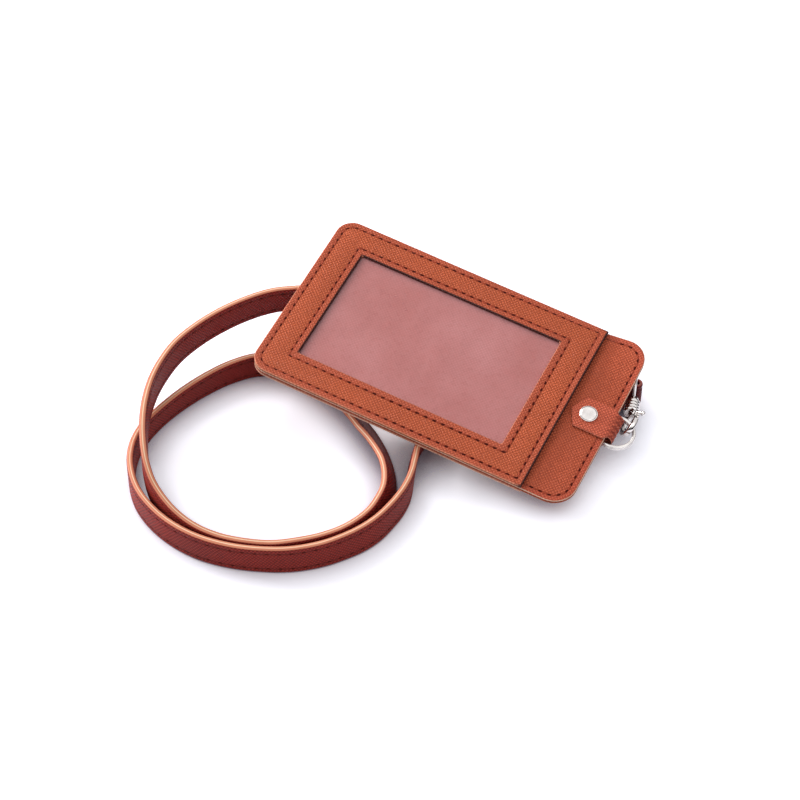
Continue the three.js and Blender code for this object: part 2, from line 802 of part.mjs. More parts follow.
function strapBand() {
  const middle = strapRoute.map(([x, y, z]) => new THREE.Vector3(x, y, z));
  const line = new THREE.CatmullRomCurve3(middle, false, "centripetal");
  const leanAt = (t) => {
    const place = t * (strapRoute.length - 1);
    const i = Math.min(Math.floor(place), strapRoute.length - 2);
    return THREE.MathUtils.lerp(strapRoute[i][3], strapRoute[i + 1][3], place - i) * degrees;
  };
  const widthAt = (t, tangent) => {
    const level = new THREE.Vector3(tangent.x, tangent.y, 0).normalize();
    return new THREE.Vector3(0, 0, 1).applyAxisAngle(level, -leanAt(t));
  };
  const path = new StripPath((t) => line.getPoint(t), widthAt);
  path.arcLengthDivisions = 1200;
  console.log("strap length", path.getLength().toFixed(1));
  return strip(path, stripSection(strapThick, strapWide, strapEdgeRound), 130);
}

// Everything, with the origin under the middle of the holder and its fittings
const part = new THREE.Group();
part.add(holder, eye);
part.updateMatrixWorld(true);
const fittings = new THREE.Box3().setFromObject(part, true);
const middle = fittings.getCenter(new THREE.Vector3());
part.add(piece("strap", strapBand(), "leather"));
part.position.set(-middle.x, -middle.y, -fittings.min.z);
console.log("origin moved to", middle.x.toFixed(3), middle.y.toFixed(3), fittings.min.z.toFixed(3));

export default part;
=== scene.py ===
"""Stitched leather ID card holder lying on its coiled neck strap, dressed for rendering.

Lengths are written in millimetres and turned to metres where a mesh is made.
"""

import json
import math

import bmesh
import bpy
import numpy as np
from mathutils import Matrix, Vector


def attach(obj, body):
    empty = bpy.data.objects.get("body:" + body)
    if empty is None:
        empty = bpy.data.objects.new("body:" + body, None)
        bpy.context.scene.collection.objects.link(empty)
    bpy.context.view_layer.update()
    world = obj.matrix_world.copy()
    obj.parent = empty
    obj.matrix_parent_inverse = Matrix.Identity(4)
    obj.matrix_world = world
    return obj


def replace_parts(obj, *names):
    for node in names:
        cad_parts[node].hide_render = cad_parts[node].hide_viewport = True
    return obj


MM = 0.001

# Holder: near left corner at its origin, x along it to the tab, y away from the camera, z up
HOLDER_LONG = 113.2
HOLDER_WIDE = 68.0
CORNER = 6.0
STRIP_CORNER = 8.0
SLOT_LONG = 97.6
WINDOW_LEFT = 12.4
WINDOW_LONG = 73.0
WINDOW_WIDE = 45.0
WINDOW_CORNER = 0.8
REAR_LEATHER = 0.7
CORE_LEATHER = 0.5
STIFFENER = 0.3
FRONT_LEATHER = 1.1
GLUE = 0.05
CORE_BOTTOM = REAR_LEATHER + GLUE
CORE_TOP = CORE_BOTTOM + 2 * CORE_LEATHER + STIFFENER + 2 * GLUE
FRONT_BOTTOM = CORE_TOP + GLUE
FRONT_TOP = FRONT_BOTTOM + FRONT_LEATHER
POCKET_DEPTH = 0.5
FILM = 0.25
FILM_LAP = 4.0
FILM_WAVE = 0.04
FILM_RIPPLE = 0.03
LEFT_END_TILT = math.radians(6.5)
FAR_EDGE_TILT = math.radians(6.3)
# Lift of the strip's far corner, its share at even steps, and the way and the ends of the bend
CORNER_LIFT = 2.6
LIFT_SHARES = [0, 0.24, 0.52, 0.78, 1]
BEND_WAY = np.array([1, 0.62]) / math.hypot(1, 0.62)
BEND_START = SLOT_LONG * BEND_WAY[0] + HOLDER_WIDE * BEND_WAY[1]
BEND_END = HOLDER_LONG * BEND_WAY[0] + HOLDER_WIDE * BEND_WAY[1]
# Slot's edge: its lift, how far back that reaches, and its corners
MOUTH_LIFT = 0.8
MOUTH_LONG = 12.0
SLOT_CORNER = 0.35
# Face: height of its waves, and how far the border's colour runs past the stitches and fades
FACE_WAVE = 0.08
BORDER_PAST = 0.15
BORDER_FADE = 0.4

# Tab and rivet
TAB_LINE = 35.2
TAB_LEATHER = 0.9
TAB_WIDE = 12.2
TAB_WAIST = 9.5
TAB_TIP = 14.0
TAB_TIP_LONG = 3.0
TAB_LEG_END = 12.2
FOLD_REACH = 2.7
RIVET_ALONG = HOLDER_LONG - 8.2
RIVET_CAP = 3.0
RIVET_CAP_HIGH = 0.85
RIVET_RIM = 0.22
RIVET_PIN = 0.6
RIVET_PIN_LONG = 2.6
RIVET_BACK = 2.1
# Rounded part at each edge of the tab's section, and its creases: radians in a millimetre, depth,
# middle and reach
TAB_ROUND = 0.41
CREASE_TURNS = 3.2
CREASE_DEPTH = 0.14
CREASE_PLACE = HOLDER_LONG + 1.8
CREASE_REACH = 2.2

# Split ring
RING_OUTER = 6.3
RING_WIRE_WIDE = 1.1
RING_WIRE_HIGH = 0.8
RING_GAP = 0.1
RING_BEYOND = 2.0
RING_CLEAR = 0.25
RING_HIGH = 2 * RING_WIRE_HIGH + RING_GAP
RING_LEVEL = CORE_BOTTOM - RING_CLEAR - RING_HIGH / 2

# Strap and its end loop, the eye's bar, and the largest rounding of a painted edge
STRAP_WIDE = 10.5
STRAP_THICK = 2.2
LOOP_LEATHER = 1.2
LOOP_WIDE = 9.8
LOOP_LONG = 14.0
LOOP_SLACK = 0.3
LOOP_GAP = 0.2
BAR_RADIUS = 0.6
BAR_CLEAR = 0.3
EDGE_ROUND = 0.75

# Stitching
STITCH_PITCH = 3.05
STITCH_INSET = 2.2
SLOT_STITCH_INSET = 2.5
WINDOW_STITCH = 2.4
STRAP_STITCH_INSET = 1.9
LOOP_STITCH_INSET = 1.7
STRAP_STITCH_PITCH = 3.8
# Half length, half width and half height of a stitch and of a needle hole
THREAD_SIZE = (1.0, 0.26, 0.15)
HOLE_SIZE = (0.72, 0.37, 0.09)
STRAP_THREAD_SIZE = (1.5, 0.2, 0.12)
# How deep holes and seams lie
HOLE_SINK = 0.01
FACE_SEAM_SINK = 0.08
BACK_SEAM_SINK = 0.05
STRAP_SEAM_SINK = 0.12
SEAM_DIP = 0.13

# Size of the leather's grain
GRAIN_PITCH = 0.9

# Floor of the studio: half its side, its own light, and the reach of the painted shade under a piece
FLOOR_HALF = 3000
FLOOR_LIFT = 0.62
CONTACT_REACH = 14

# Camera, fitted to the photograph's 800 by 800 frame, and the holder's near right corner in that fit
CAMERA_LENS = 104.96
CAMERA_AZIMUTH = math.radians(26.943)
CAMERA_ELEVATION = math.radians(47.754)
CAMERA_AT = np.array([277.69, -437.65, 569.45])
NEAR_CORNER = np.array([HOLDER_LONG, 0.0, 5.365])

# The strap's middle line: x, y, height of its middle and its lean in degrees
STRAP_ROUTE = [
    [106.42, 54.71, 6.10, -10],
    [103.07, 53.70, 6.10, -10],
    [99.24, 52.54, 6.10, -10],
    [89.5, 49.7, 6.4, -4],
    [80, 47.9, 7.2, 0],
    [66, 49.0, 8.6, 0],
    [46, 51.6, 11.0, 0],
    [26, 50.0, 13.6, 0],
    [10.5, 43.8, 15.6, 0],
    [-0.3, 36.0, 16.6, 0],
    [-7.5, 31.0, 16.6, 0],
    [-13.3, 24.2, 16.6, 0],
    [-18.7, 15.0, 16.55, -1],
    [-22.5, 5.3, 16.5, -1],
    [-24.5, -3.8, 16.45, -2],
    [-24.5, -12.6, 16.4, -2],
    [-23.2, -21.1, 16.4, -1],
    [-20.6, -29.4, 16.4, 0],
    [-17.1, -37.0, 16.0, 0],
    [-13.1, -43.7, 14.8, 0],
    [-8.7, -49.6, 12.8, 1],
    [-3.8, -54.2, 10.6, 2],
    [2.1, -57.6, 8.8, 2],
    [8.4, -59.8, 7.2, 2],
    [15.4, -60.8, 6.1, 1],
    [23.0, -60.4, 5.5, 0],
    [31.6, -58.4, 5.35, 0],
    [39.4, -55.2, 5.3, 0],
    [46.4, -50.3, 5.31, 1],
    [51.3, -46.1, 5.36, 3],
    [55.6, -41.1, 5.39, 5],
    [58.7, -35.7, 5.41, 8],
    [60.6, -29.8, 5.41, 11],
    [60.9, -24.0, 5.41, 13],
    [60.3, -18.8, 5.41, 15],
    [58.2, -13.6, 5.40, 17],
    [54.6, -8.2, 5.34, 21],
    [48.6, -2.4, 5.2, 30],
    [41.7, 2.6, 4.9, 38],
    [33.5, 7.4, 4.95, 37],
    [25.0, 11.4, 5.3, 26],
    [16.4, 14.3, 5.42, 12],
    [8.2, 15.4, 5.38, 5],
    [1.4, 14.2, 5.35, 3],
    [-4.4, 11.2, 5.35, 3],
    [-10.3, 4.3, 5.36, 4],
    [-14.7, -3.9, 5.38, 5],
    [-18.0, -12.4, 5.39, 6],
    [-20.1, -20.3, 5.39, 6],
    [-21.2, -27.1, 5.36, 4],
    [-21.4, -32.8, 5.33, 1],
    [-20.4, -39.0, 5.3, 0],
    [-17.9, -45.1, 5.3, 0],
    [-14.0, -50.7, 5.32, 1],
    [-8.9, -55.6, 5.34, 2],
    [-3.2, -59.1, 5.35, 3],
    [3.5, -61.8, 5.35, 3],
    [10.9, -63.4, 5.35, 3],
    [19.0, -63.7, 5.35, 3],
    [28.0, -62.3, 5.34, 2],
    [36.6, -59.5, 5.34, 2],
    [45.3, -55.2, 5.34, 3],
    [52.8, -49.2, 5.36, 4],
    [57.6, -43.5, 5.38, 5],
    [61.2, -38.0, 5.41, 7],
    [63.7, -32.0, 5.41, 7],
    [64.9, -26.2, 5.38, 5],
    [65.5, -20.8, 5.36, 4],
    [65.3, -15.3, 5.34, 1],
    [64.1, -9.9, 5.35, -4],
    [62.3, -5.0, 5.38, -9],
    [60.6, 0.3, 5.4, -11],
    [59.7, 7.2, 5.36, -6],
    [60.3, 15.6, 5.3, 0],
    [63.7, 25.4, 5.3, 0],
    [70.8, 34.6, 5.3, 0],
    [80.5, 41.2, 5.7, 2],
    [90.5, 46.3, 6.3, 6],
    [99.95, 50.18, 6.52, 10],
    [103.78, 51.34, 6.52, 10],
    [107.13, 52.35, 6.52, 10],
]

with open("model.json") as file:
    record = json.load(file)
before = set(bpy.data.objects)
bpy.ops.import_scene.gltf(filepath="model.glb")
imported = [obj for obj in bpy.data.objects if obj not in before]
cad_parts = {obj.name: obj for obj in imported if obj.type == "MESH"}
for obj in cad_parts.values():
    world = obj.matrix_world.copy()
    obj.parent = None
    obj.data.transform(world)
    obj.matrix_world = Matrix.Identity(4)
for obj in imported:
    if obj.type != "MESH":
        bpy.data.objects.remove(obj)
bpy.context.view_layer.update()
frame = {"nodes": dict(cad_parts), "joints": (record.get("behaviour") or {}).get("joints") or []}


def rotation(axis, angle):
    """Matrix that turns by an angle about axis 0, 1 or 2."""
    cosine, sine = math.cos(angle), math.sin(angle)
    turn = np.eye(3)
    first, second = [(1, 2), (2, 0), (0, 1)][axis]
    turn[first, first] = turn[second, second] = cosine
    turn[first, second] = -sine
    turn[second, first] = sine
    return turn


HOLDER_TURN = rotation(0, FAR_EDGE_TILT) @ rotation(1, LEFT_END_TILT)


def unit(vectors):
    """Each row scaled to a length of 1."""
    return vectors / np.linalg.norm(vectors, axis=1)[:, None]


def travelled(line):
    """Distance along a polyline at each of its points."""
    return np.concatenate([[0], np.cumsum(np.linalg.norm(np.diff(line, axis=0), axis=1))])


def at_height(plan, height):
    """Points of a plan with one height for all."""
    return np.column_stack([plan, np.full(len(plan), height)])


def joint(name):
    """Place in millimetres and unit axis of a joint of the frame."""
    found = next(one for one in frame["joints"] if one["name"] == name)
    axis = np.array(found["axis"], float)
    return np.array(found["pos_m"], float) / MM, axis / np.linalg.norm(axis)


def holder_corner():
    """Place of the holder's own origin, found from the ring's joint.

    That joint is at the ring's middle, whose place in the holder is known.
    """
    at_ring, _ = joint("ring_turn")
    return at_ring - HOLDER_TURN @ np.array([HOLDER_LONG + RING_BEYOND, TAB_LINE, RING_LEVEL])


HOLDER_AT = holder_corner()
# From the frame of the camera's fit to the part's own frame
PHOTO_SHIFT = HOLDER_AT - (NEAR_CORNER - HOLDER_TURN @ np.array([HOLDER_LONG, 0, 0]))


def bent_up(points):
    """Points of a flat sheet raised at the strip's far corner.

    The lift grows with the distance past the first bend, in the shares of LIFT_SHARES.
    """
    across = points[:, 0] * BEND_WAY[0] + points[:, 1] * BEND_WAY[1]
    place = np.clip((across - BEND_START) / (BEND_END - BEND_START), 0, 1)
    points = points.copy()
    points[:, 2] += CORNER_LIFT * np.interp(place, np.linspace(0, 1, len(LIFT_SHARES)), LIFT_SHARES)
    return points


def on_holder(points):
    """Points of the holder's own frame, placed in the part's frame."""
    return np.asarray(points) @ HOLDER_TURN.T + HOLDER_AT


def new_object(name, data):
    """An object of the scene with this mesh, lamp or camera."""
    made = bpy.data.objects.new(name, data)
    bpy.context.scene.collection.objects.link(made)
    return made


def face_along(made, way):
    """Turns a camera or a lamp to look along a way."""
    made.rotation_mode = "QUATERNION"
    made.rotation_quaternion = way.to_track_quat("-Z", "Y")


# Camera first, then the strap
def set_camera():
    """Camera of the photograph: it looks from the side that the fitted azimuth and elevation give."""
    data = bpy.data.cameras.new("photo_camera")
    data.lens = CAMERA_LENS
    data.sensor_width = 36
    data.clip_start = 0.01
    data.clip_end = 20
    camera = new_object("photo_camera", data)
    level = math.cos(CAMERA_ELEVATION)
    sideways = math.sin(CAMERA_AZIMUTH) * level
    back = Vector((sideways, -math.cos(CAMERA_AZIMUTH) * level, math.sin(CAMERA_ELEVATION)))
    camera.location = Vector((CAMERA_AT + PHOTO_SHIFT) * MM)
    face_along(camera, -back)
    bpy.context.scene.camera = camera


set_camera()


def quad_grid(rows, columns, wrap_rows=False, wrap_columns=False):
    """Four corners of each cell of a grid of points, row by row."""
    row = np.arange(rows if wrap_rows else rows - 1)
    column = np.arange(columns if wrap_columns else columns - 1)
    first, second = np.meshgrid(row, column, indexing="ij")
    after_row = (first + 1) % rows
    after_column = (second + 1) % columns
    corners = [
        first * columns + second,
        first * columns + after_column,
        after_row * columns + after_column,
        after_row * columns + second,
    ]
    return np.stack(corners, axis=-1).reshape(-1, 4)


def tube_faces(rows, count, capped=True):
    """Faces through closed sections of one count: the two ends are capped, or joined to each other."""
    faces = quad_grid(rows, count, wrap_rows=not capped, wrap_columns=True).tolist()
    if capped:
        faces.append(list(range(count))[::-1])
        faces.append(list(range((rows - 1) * count, rows * count)))
    return faces


def smooth_faces(mesh):
    """Shades every face of a mesh round."""
    mesh.polygons.foreach_set("use_smooth", np.full(len(mesh.polygons), True))


def piece(name, points, faces, material, body, uv=None, masks=None):
    """A mesh object from points in millimetres, with a UV in millimetres and masks for each point."""
    mesh = bpy.data.meshes.new(name)
    mesh.from_pydata((points * MM).tolist(), [], [list(map(int, face)) for face in faces])
    mesh.materials.append(material)
    corner_point = np.empty(len(mesh.loops), np.int32)
    mesh.loops.foreach_get("vertex_index", corner_point)
    if uv is not None:
        layer = mesh.uv_layers.new(name="length_width")
        layer.data.foreach_set("uv", uv[corner_point].astype(np.float32).ravel())
    for mask_name, values in (masks or {}).items():
        layer = mesh.attributes.new(mask_name, "FLOAT", "POINT")
        layer.data.foreach_set("value", values.astype(np.float32))
    smooth_faces(mesh)
    mesh.validate()
    shape = bmesh.new()
    shape.from_mesh(mesh)
    bmesh.ops.recalc_face_normals(shape, faces=shape.faces)
    shape.to_mesh(mesh)
    shape.free()
    made = new_object(name, mesh)
    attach(made, body)
    return made


def outline(left, near, right, far, left_radius, right_radius):
    """Rounded rectangle: four straight sides with quarter arcs between them, anticlockwise."""
    quarter = math.pi / 2
    side = np.linspace(0, 1, 41)[:-1]
    arc = np.linspace(0, quarter, 9)[:-1]
    corners = [
        (right - right_radius, near + right_radius, right_radius, -quarter),
        (right - right_radius, far - right_radius, right_radius, 0),
        (left + left_radius, far - left_radius, left_radius, quarter),
        (left + left_radius, near + left_radius, left_radius, math.pi),
    ]
    arcs = [
        np.stack([x + r * np.cos(start + arc), y + r * np.sin(start + arc)], axis=1)
        for x, y, r, start in corners
    ]
    ends = [
        np.array([x + r * math.cos(start + quarter), y + r * math.sin(start + quarter)])
        for x, y, r, start in corners
    ]
    sides = []
    for i, turn in enumerate(arcs):
        start = ends[i - 1]
        sides += [start + (turn[0] - start) * side[:, None], turn]
    return np.concatenate(sides)


def border_mask(inset, stitch):
    """1 in the border between an edge and its stitches, 0 on the face inside it, with a short fade."""
    return max(0.0, min(1.0, (stitch + BORDER_PAST - inset) / BORDER_FADE))


# A sheet's rounded corner: inset, height and share of edge paint of each point
ROUNDED_EDGE = [(0.3, 0.0, 0.2), (0.07, 0.07, 1.0), (0.0, 0.2, 1.0)]


def edge_profile(thick, stitch):
    """Half section of a leather sheet: inset, height, edge and seam of each point, upwards from below.

    The side is upright with rounded corners, and the upper face dips where the thread pulls it down.
    """
    lower = [(inset, height, edge, 0.0) for inset, height, edge in ROUNDED_EDGE]
    upper = [(inset, thick - height, edge, 0.0) for inset, height, edge in reversed(ROUNDED_EDGE)]
    face = [(0.65, thick, 0.0, 0.0), (1.2, thick, 0.0, 0.0)]
    seam_line = (
        (-0.55, 0.02, 0.0),
        (-0.25, 0.6 * SEAM_DIP, 0.5),
        (0.0, SEAM_DIP, 1.0),
        (0.25, 0.6 * SEAM_DIP, 0.5),
        (0.55, 0.02, 0.0),
    )
    face += [(stitch + away, thick - dip, 0.0, seam) for away, dip, seam in seam_line]
    return lower + upper + face


def sheet_loft(name, rings, material, capped, masks, shaped):
    """Surface through nested outlines, each a ring of points; the first and last are closed or joined.

    Its map is the flat plan, taken before the sheet is bent into shape. A mask is one value for each
    ring or for each point.
    """
    count = len(rings[0])
    flat = np.concatenate(rings)
    layers = {}
    for key, values in masks.items():
        given = np.array(values, float)
        layers[key] = given.ravel() if given.ndim == 2 else np.repeat(given, count)
    faces = tube_faces(len(rings), count, capped)
    points = on_holder(shaped(flat))
    return piece(name, points, faces, material, "holder", uv=flat[:, :2].copy(), masks=layers)


def plate(name, right, bottom, thick, right_radius, material, face_up):
    """Whole sheet: outlines work inwards from the edge until they close up in the middle."""
    insets = (6.0, 18.0, 33.9)
    under = [(inset, 0.0, 0.0, 0.0) for inset in reversed(insets)]
    inner = [(inset, thick, 0.0, 0.0) for inset in insets]
    rows = under + edge_profile(thick, STITCH_INSET) + inner
    rings = []
    for inset, height, _, _ in rows:
        flat = outline(
            inset,
            inset,
            right - inset,
            HOLDER_WIDE - inset,
            max(CORNER - inset, 0.05),
            max(right_radius - inset, 0.05),
        )
        rings.append(at_height(flat, bottom + (height if face_up else thick - height)))
    if not face_up:
        rings = rings[::-1]
        rows = rows[::-1]
    masks = {
        "edge": [row[2] for row in rows],
        "seam": [row[3] for row in rows],
        "border": [border_mask(row[0], STITCH_INSET) for row in rows],
        "rise": [row[1] / thick for row in rows],
    }
    return sheet_loft(name, rings, material, True, masks, bent_up)


def open_mouth(points):
    """Front panel's slot edge stands a little off the strip.

    The lift grows with the square of the way to the slot and is greatest halfway along it.
    """
    along = np.clip((points[:, 0] - (SLOT_LONG - MOUTH_LONG)) / MOUTH_LONG, 0, 1)
    between = np.sin(math.pi * np.clip(points[:, 1] / HOLDER_WIDE, 0, 1))
    points = points.copy()
    points[:, 2] += MOUTH_LIFT * along**2 * np.sqrt(between)
    return points


def waved_face(points):
    """Front panel with its open mouth and low hand-made unevenness on its face.

    The unevenness is the mean of three long waves in the plane: along, across and aslant.
    """
    x, y = points[:, 0], points[:, 1]
    wave = (np.sin(x / 17.0 + 1.3) + np.sin(y / 13.0 + 2.73) + np.sin((x + y) / 23.0 + 0.91)) / 3
    on_face = points[:, 2] > FRONT_BOTTOM + 0.8 * FRONT_LEATHER
    points = points.copy()
    points[:, 2] += np.where(on_face, FACE_WAVE * wave, 0)
    return open_mouth(points)


def window_frame(material):
    """Front panel: outlines go inwards from its edge and outwards from the window, joined between.

    One mask paints shade on the mouth of the slot and on the window's far and left walls, which face
    away from the light, and a fainter shade on the window's other walls.
    """
    near = (HOLDER_WIDE - WINDOW_WIDE) / 2
    far = near + WINDOW_WIDE
    window_right = WINDOW_LEFT + WINDOW_LONG
    rows = []
    for inset, height, edge, seam in edge_profile(FRONT_LEATHER, STITCH_INSET):
        on_slot = inset + (SLOT_STITCH_INSET - STITCH_INSET) * min(inset / STITCH_INSET, 1)
        flat = outline(
            inset,
            inset,
            SLOT_LONG - on_slot,
            HOLDER_WIDE - inset,
            max(CORNER - inset, 0.3),
            max(SLOT_CORNER - inset, 0.05),
        )
        # Painted shade on the slot's side wall, which faces away from the light
        painted_wall_shade = np.where(flat[:, 0] > SLOT_LONG - 0.75, float(inset < 0.5), 0.0)
        rows.append((flat, height, edge, seam, border_mask(inset, STITCH_INSET), painted_wall_shade))
    for offset, height, edge, seam in reversed(edge_profile(FRONT_LEATHER, WINDOW_STITCH)):
        flat = outline(
            WINDOW_LEFT - offset,
            near - offset,
            window_right + offset,
            far + offset,
            WINDOW_CORNER,
            WINDOW_CORNER,
        )
        # Painted shade: full on the window's far and left walls, a quarter of it on the others
        in_shade = (flat[:, 1] > far - 0.05) | (flat[:, 0] < WINDOW_LEFT + 0.05)
        painted_wall_shade = np.where(in_shade, float(offset < 0.4), 0.25 * edge)
        rows.append((flat, height, edge, seam, border_mask(offset, WINDOW_STITCH), painted_wall_shade))
    rings = [at_height(row[0], FRONT_BOTTOM + row[1]) for row in rows]
    names = ("edge", "seam", "border", "painted_wall_shade")
    masks = {name: [row[i] for row in rows] for i, name in enumerate(names, 2)}
    masks["rise"] = [row[1] / FRONT_LEATHER for row in rows]
    made = sheet_loft("front_leather", rings, material, False, masks, waved_face)
    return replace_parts(made, "front_panel")


def film_sheet(material):
    """Clear film: a shallow sheet whose face rises and falls with two slow waves.

    The waves fade to nothing at the film's edges. One mask is painted shade under the window's left and
    far walls, which falls off with the distance from them.
    """
    near = (HOLDER_WIDE - WINDOW_WIDE) / 2 - FILM_LAP
    far = HOLDER_WIDE - near
    left = WINDOW_LEFT - FILM_LAP
    right = WINDOW_LEFT + WINDOW_LONG + FILM_LAP
    bottom = FRONT_BOTTOM + POCKET_DEPTH - GLUE - FILM
    size = (90, 60)
    across, upward = (np.linspace(0, 1, count) for count in size)
    x, y = np.meshgrid(left + (right - left) * across, near + (far - near) * upward, indexing="ij")
    hold = np.outer(np.sin(math.pi * across), np.sin(math.pi * upward))
    wave = FILM_WAVE * np.sin(x / 6.2 + 0.9 * np.sin(y / 9.0))
    ripple = FILM_RIPPLE * np.sin(y / 5.1 + x / 16.0)
    low = bottom + hold * (wave + ripple)
    points = np.stack([np.stack([x, y, level], axis=-1) for level in (low + FILM, low)]).reshape(-1, 3)
    upper = quad_grid(*size)
    lower = upper[:, ::-1] + x.size
    index = np.arange(x.size).reshape(size)
    rim = np.concatenate([index[:, 0], index[-1, 1:], index[-2::-1, -1], index[0, -2:0:-1]])
    after = np.roll(rim, -1)
    side = np.stack([rim, rim + x.size, after + x.size, after], axis=1)
    faces = np.concatenate([upper[:, ::-1], lower[:, ::-1], side[:, ::-1]])
    from_left = np.clip(points[:, 0] - WINDOW_LEFT, 0, None)
    from_far = np.clip(far - FILM_LAP - points[:, 1], 0, None)
    # Painted shade on the film under the window's left and far walls
    masks = {"film_wall_shade": np.maximum(np.exp(-from_left / 1.1), np.exp(-from_far / 0.7))}
    flat = points[:, :2].copy()
    made = piece("clear_window", on_holder(points), faces, material, "holder", uv=flat, masks=masks)
    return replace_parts(made, "window_film")


def points_at(line, place, wanted):
    """Points of a polyline at wanted distances along it; place is the distance at its own points."""
    return np.column_stack([np.interp(wanted, place, line[:, i]) for i in range(line.shape[1])])


def resample(line, pitch, closed=False, phase=0.5):
    """Points at equal steps along a polyline, with the unit way of the line at each.

    The phase is the share of a step before the first point.
    """
    whole = np.vstack([line, line[:1]]) if closed else line
    place = travelled(whole)
    count = max(2, int(round(place[-1] / pitch)))
    wanted = (np.arange(count) + phase) * place[-1] / count
    points = points_at(whole, place, wanted)
    step = 0.2
    wanted = np.clip(wanted, step, place[-1] - step)
    return points, unit(points_at(whole, place, wanted + step) - points_at(whole, place, wanted - step))


def stitch_row(name, points, way, normal, size, material, slant=0.1):
    """Beads of thread or the dark holes of painted shade between them, each a stretched ball half sunk
    in the leather.

    Each is turned a little from the seam's line; its size is half its length, width and height.
    """
    around = np.linspace(0, 2 * math.pi, 9)[:-1]
    along = np.linspace(-1, 1, 7)
    bulge = np.sqrt(np.clip(1 - along**4, 0, 1))
    bulge[[0, -1]] = 0.12
    half_long, half_wide, half_high = size
    way = unit(way + slant * np.cross(normal, way))
    side = np.cross(normal, way)
    wide = half_wide * np.outer(bulge, np.cos(around))
    high = half_high * np.outer(bulge, np.sin(around))
    lengthwise = half_long * along[None, :, None, None] * way[:, None, None, :]
    across = wide[None, :, :, None] * side[:, None, None, :]
    upward = high[None, :, :, None] * normal[:, None, None, :]
    beads = points[:, None, None, :] + lengthwise + across + upward
    count = len(along) * len(around)
    grid = quad_grid(len(along), len(around), wrap_columns=True)
    faces = (grid[None] + count * np.arange(len(points))[:, None, None]).reshape(-1, 4).tolist()
    ring = np.arange(len(around))
    for i in range(len(points)):
        faces.append((ring[::-1] + i * count).tolist())
        faces.append((ring + (i + 1) * count - len(around)).tolist())
    return piece(name, beads.reshape(-1, 3), faces, material, "holder")


def level_row(name, line, height, finishes, up=1.0, closed=False, shaped=None):
    """A row of stitches on the holder, along a plan line at one height, and its needle holes."""
    thread, hole = finishes
    half_row(name, line, height, THREAD_SIZE, thread, 0.5, up, closed, shaped)
    half_row(name + "_holes", line, height - up * HOLE_SINK, HOLE_SIZE, hole, 0.0, up, closed, shaped)


def half_row(name, line, height, size, material, phase, up, closed, shaped):
    """Beads or holes of one seam, raised as its sheet is."""
    points, way = resample(np.asarray(line, float), STITCH_PITCH, closed, phase)
    flat = at_height(points, height)
    ahead = flat + 0.5 * at_height(way, 0.0)
    side = flat + 0.5 * np.column_stack([-way[:, 1], way[:, 0], np.zeros(len(way))])
    if shaped is not None:
        flat, ahead, side = shaped(flat), shaped(ahead), shaped(side)
    placed = on_holder(flat)
    turned = unit(on_holder(ahead) - placed)
    normal = up * unit(np.cross(turned, on_holder(side) - placed))
    return stitch_row(name, placed, turned, normal, size, material)


def holder_stitching(finishes):
    """Every row of stitches on the holder, front and back."""
    inset = STITCH_INSET
    near = (HOLDER_WIDE - WINDOW_WIDE) / 2
    far = HOLDER_WIDE - inset
    radius = CORNER - inset
    whole = outline(inset, inset, HOLDER_LONG - inset, far, radius, STRIP_CORNER - inset)
    on_panel = outline(inset, inset, SLOT_LONG - SLOT_STITCH_INSET, far, radius, 0.3)
    front_height = FRONT_TOP - FACE_SEAM_SINK
    level_row("panel_stitches", on_panel, front_height, finishes, closed=True, shaped=open_mouth)
    window = outline(
        WINDOW_LEFT - WINDOW_STITCH,
        near - WINDOW_STITCH,
        WINDOW_LEFT + WINDOW_LONG + WINDOW_STITCH,
        HOLDER_WIDE - near + WINDOW_STITCH,
        0.7,
        0.7,
    )
    level_row("window_stitches", window, front_height, finishes, closed=True, shaped=open_mouth)
    beyond = whole[whole[:, 0] > SLOT_LONG + 1.2]
    split = np.argmax(beyond[:, 1] > TAB_LINE)
    off_tab = np.abs(beyond[:, 1] - TAB_LINE) > TAB_WIDE / 2 + 1.6
    strip_height = CORE_TOP - FACE_SEAM_SINK
    back_height = CORE_BOTTOM + BACK_SEAM_SINK
    for side, part in (("near", slice(0, split)), ("far", slice(split, None))):
        line = beyond[part][off_tab[part]]
        level_row(f"strip_stitches_{side}", line, strip_height, finishes, shaped=bent_up)
        level_row(f"strip_back_stitches_{side}", line, back_height, finishes, up=-1.0, shaped=bent_up)
    level_row("back_stitches", on_panel, BACK_SEAM_SINK, finishes, up=-1.0, closed=True)


def catmull_rom(knots, count):
    """Smooth curve through the knots with centripetal spacing, and the knot number at each point.

    Between two knots it is the cubic that leaves and arrives along the slopes of the knots round it.
    """
    whole = np.vstack([2 * knots[0] - knots[1], knots, 2 * knots[-1] - knots[-2]])
    share = np.linspace(0, len(knots) - 1, count)
    span = np.minimum(share.astype(int), len(knots) - 2)
    t = (share - span)[:, None]
    p0, p1, p2, p3 = (whole[span + i] for i in range(4))
    before, here, after = (
        np.sqrt(np.linalg.norm(b - a, axis=1))[:, None] for a, b in ((p0, p1), (p1, p2), (p2, p3))
    )
    start = ((p1 - p0) / before - (p2 - p0) / (before + here) + (p2 - p1) / here) * here
    end = ((p2 - p1) / here - (p3 - p1) / (here + after) + (p3 - p2) / after) * here
    cubic = p1 + start * t
    cubic += (-3 * p1 + 3 * p2 - 2 * start - end) * t**2
    cubic += (2 * p1 - 2 * p2 + start + end) * t**3
    return cubic, share


def band_frames(line, up):
    """Unit ways of a band at each point of its line: across its thickness and across its width."""
    way = unit(np.gradient(line, axis=0))
    thick = unit(np.cross(up, way))
    return thick, np.cross(way, thick)


def all_round(quarter, middle, mirror=1.0, back=1.0):
    """Values of a quarter of a section and of its edge's middle, carried to the other quarters."""
    half = np.concatenate([quarter, [middle], mirror * quarter[::-1]])
    return np.concatenate([half, back * half[1:-1]])


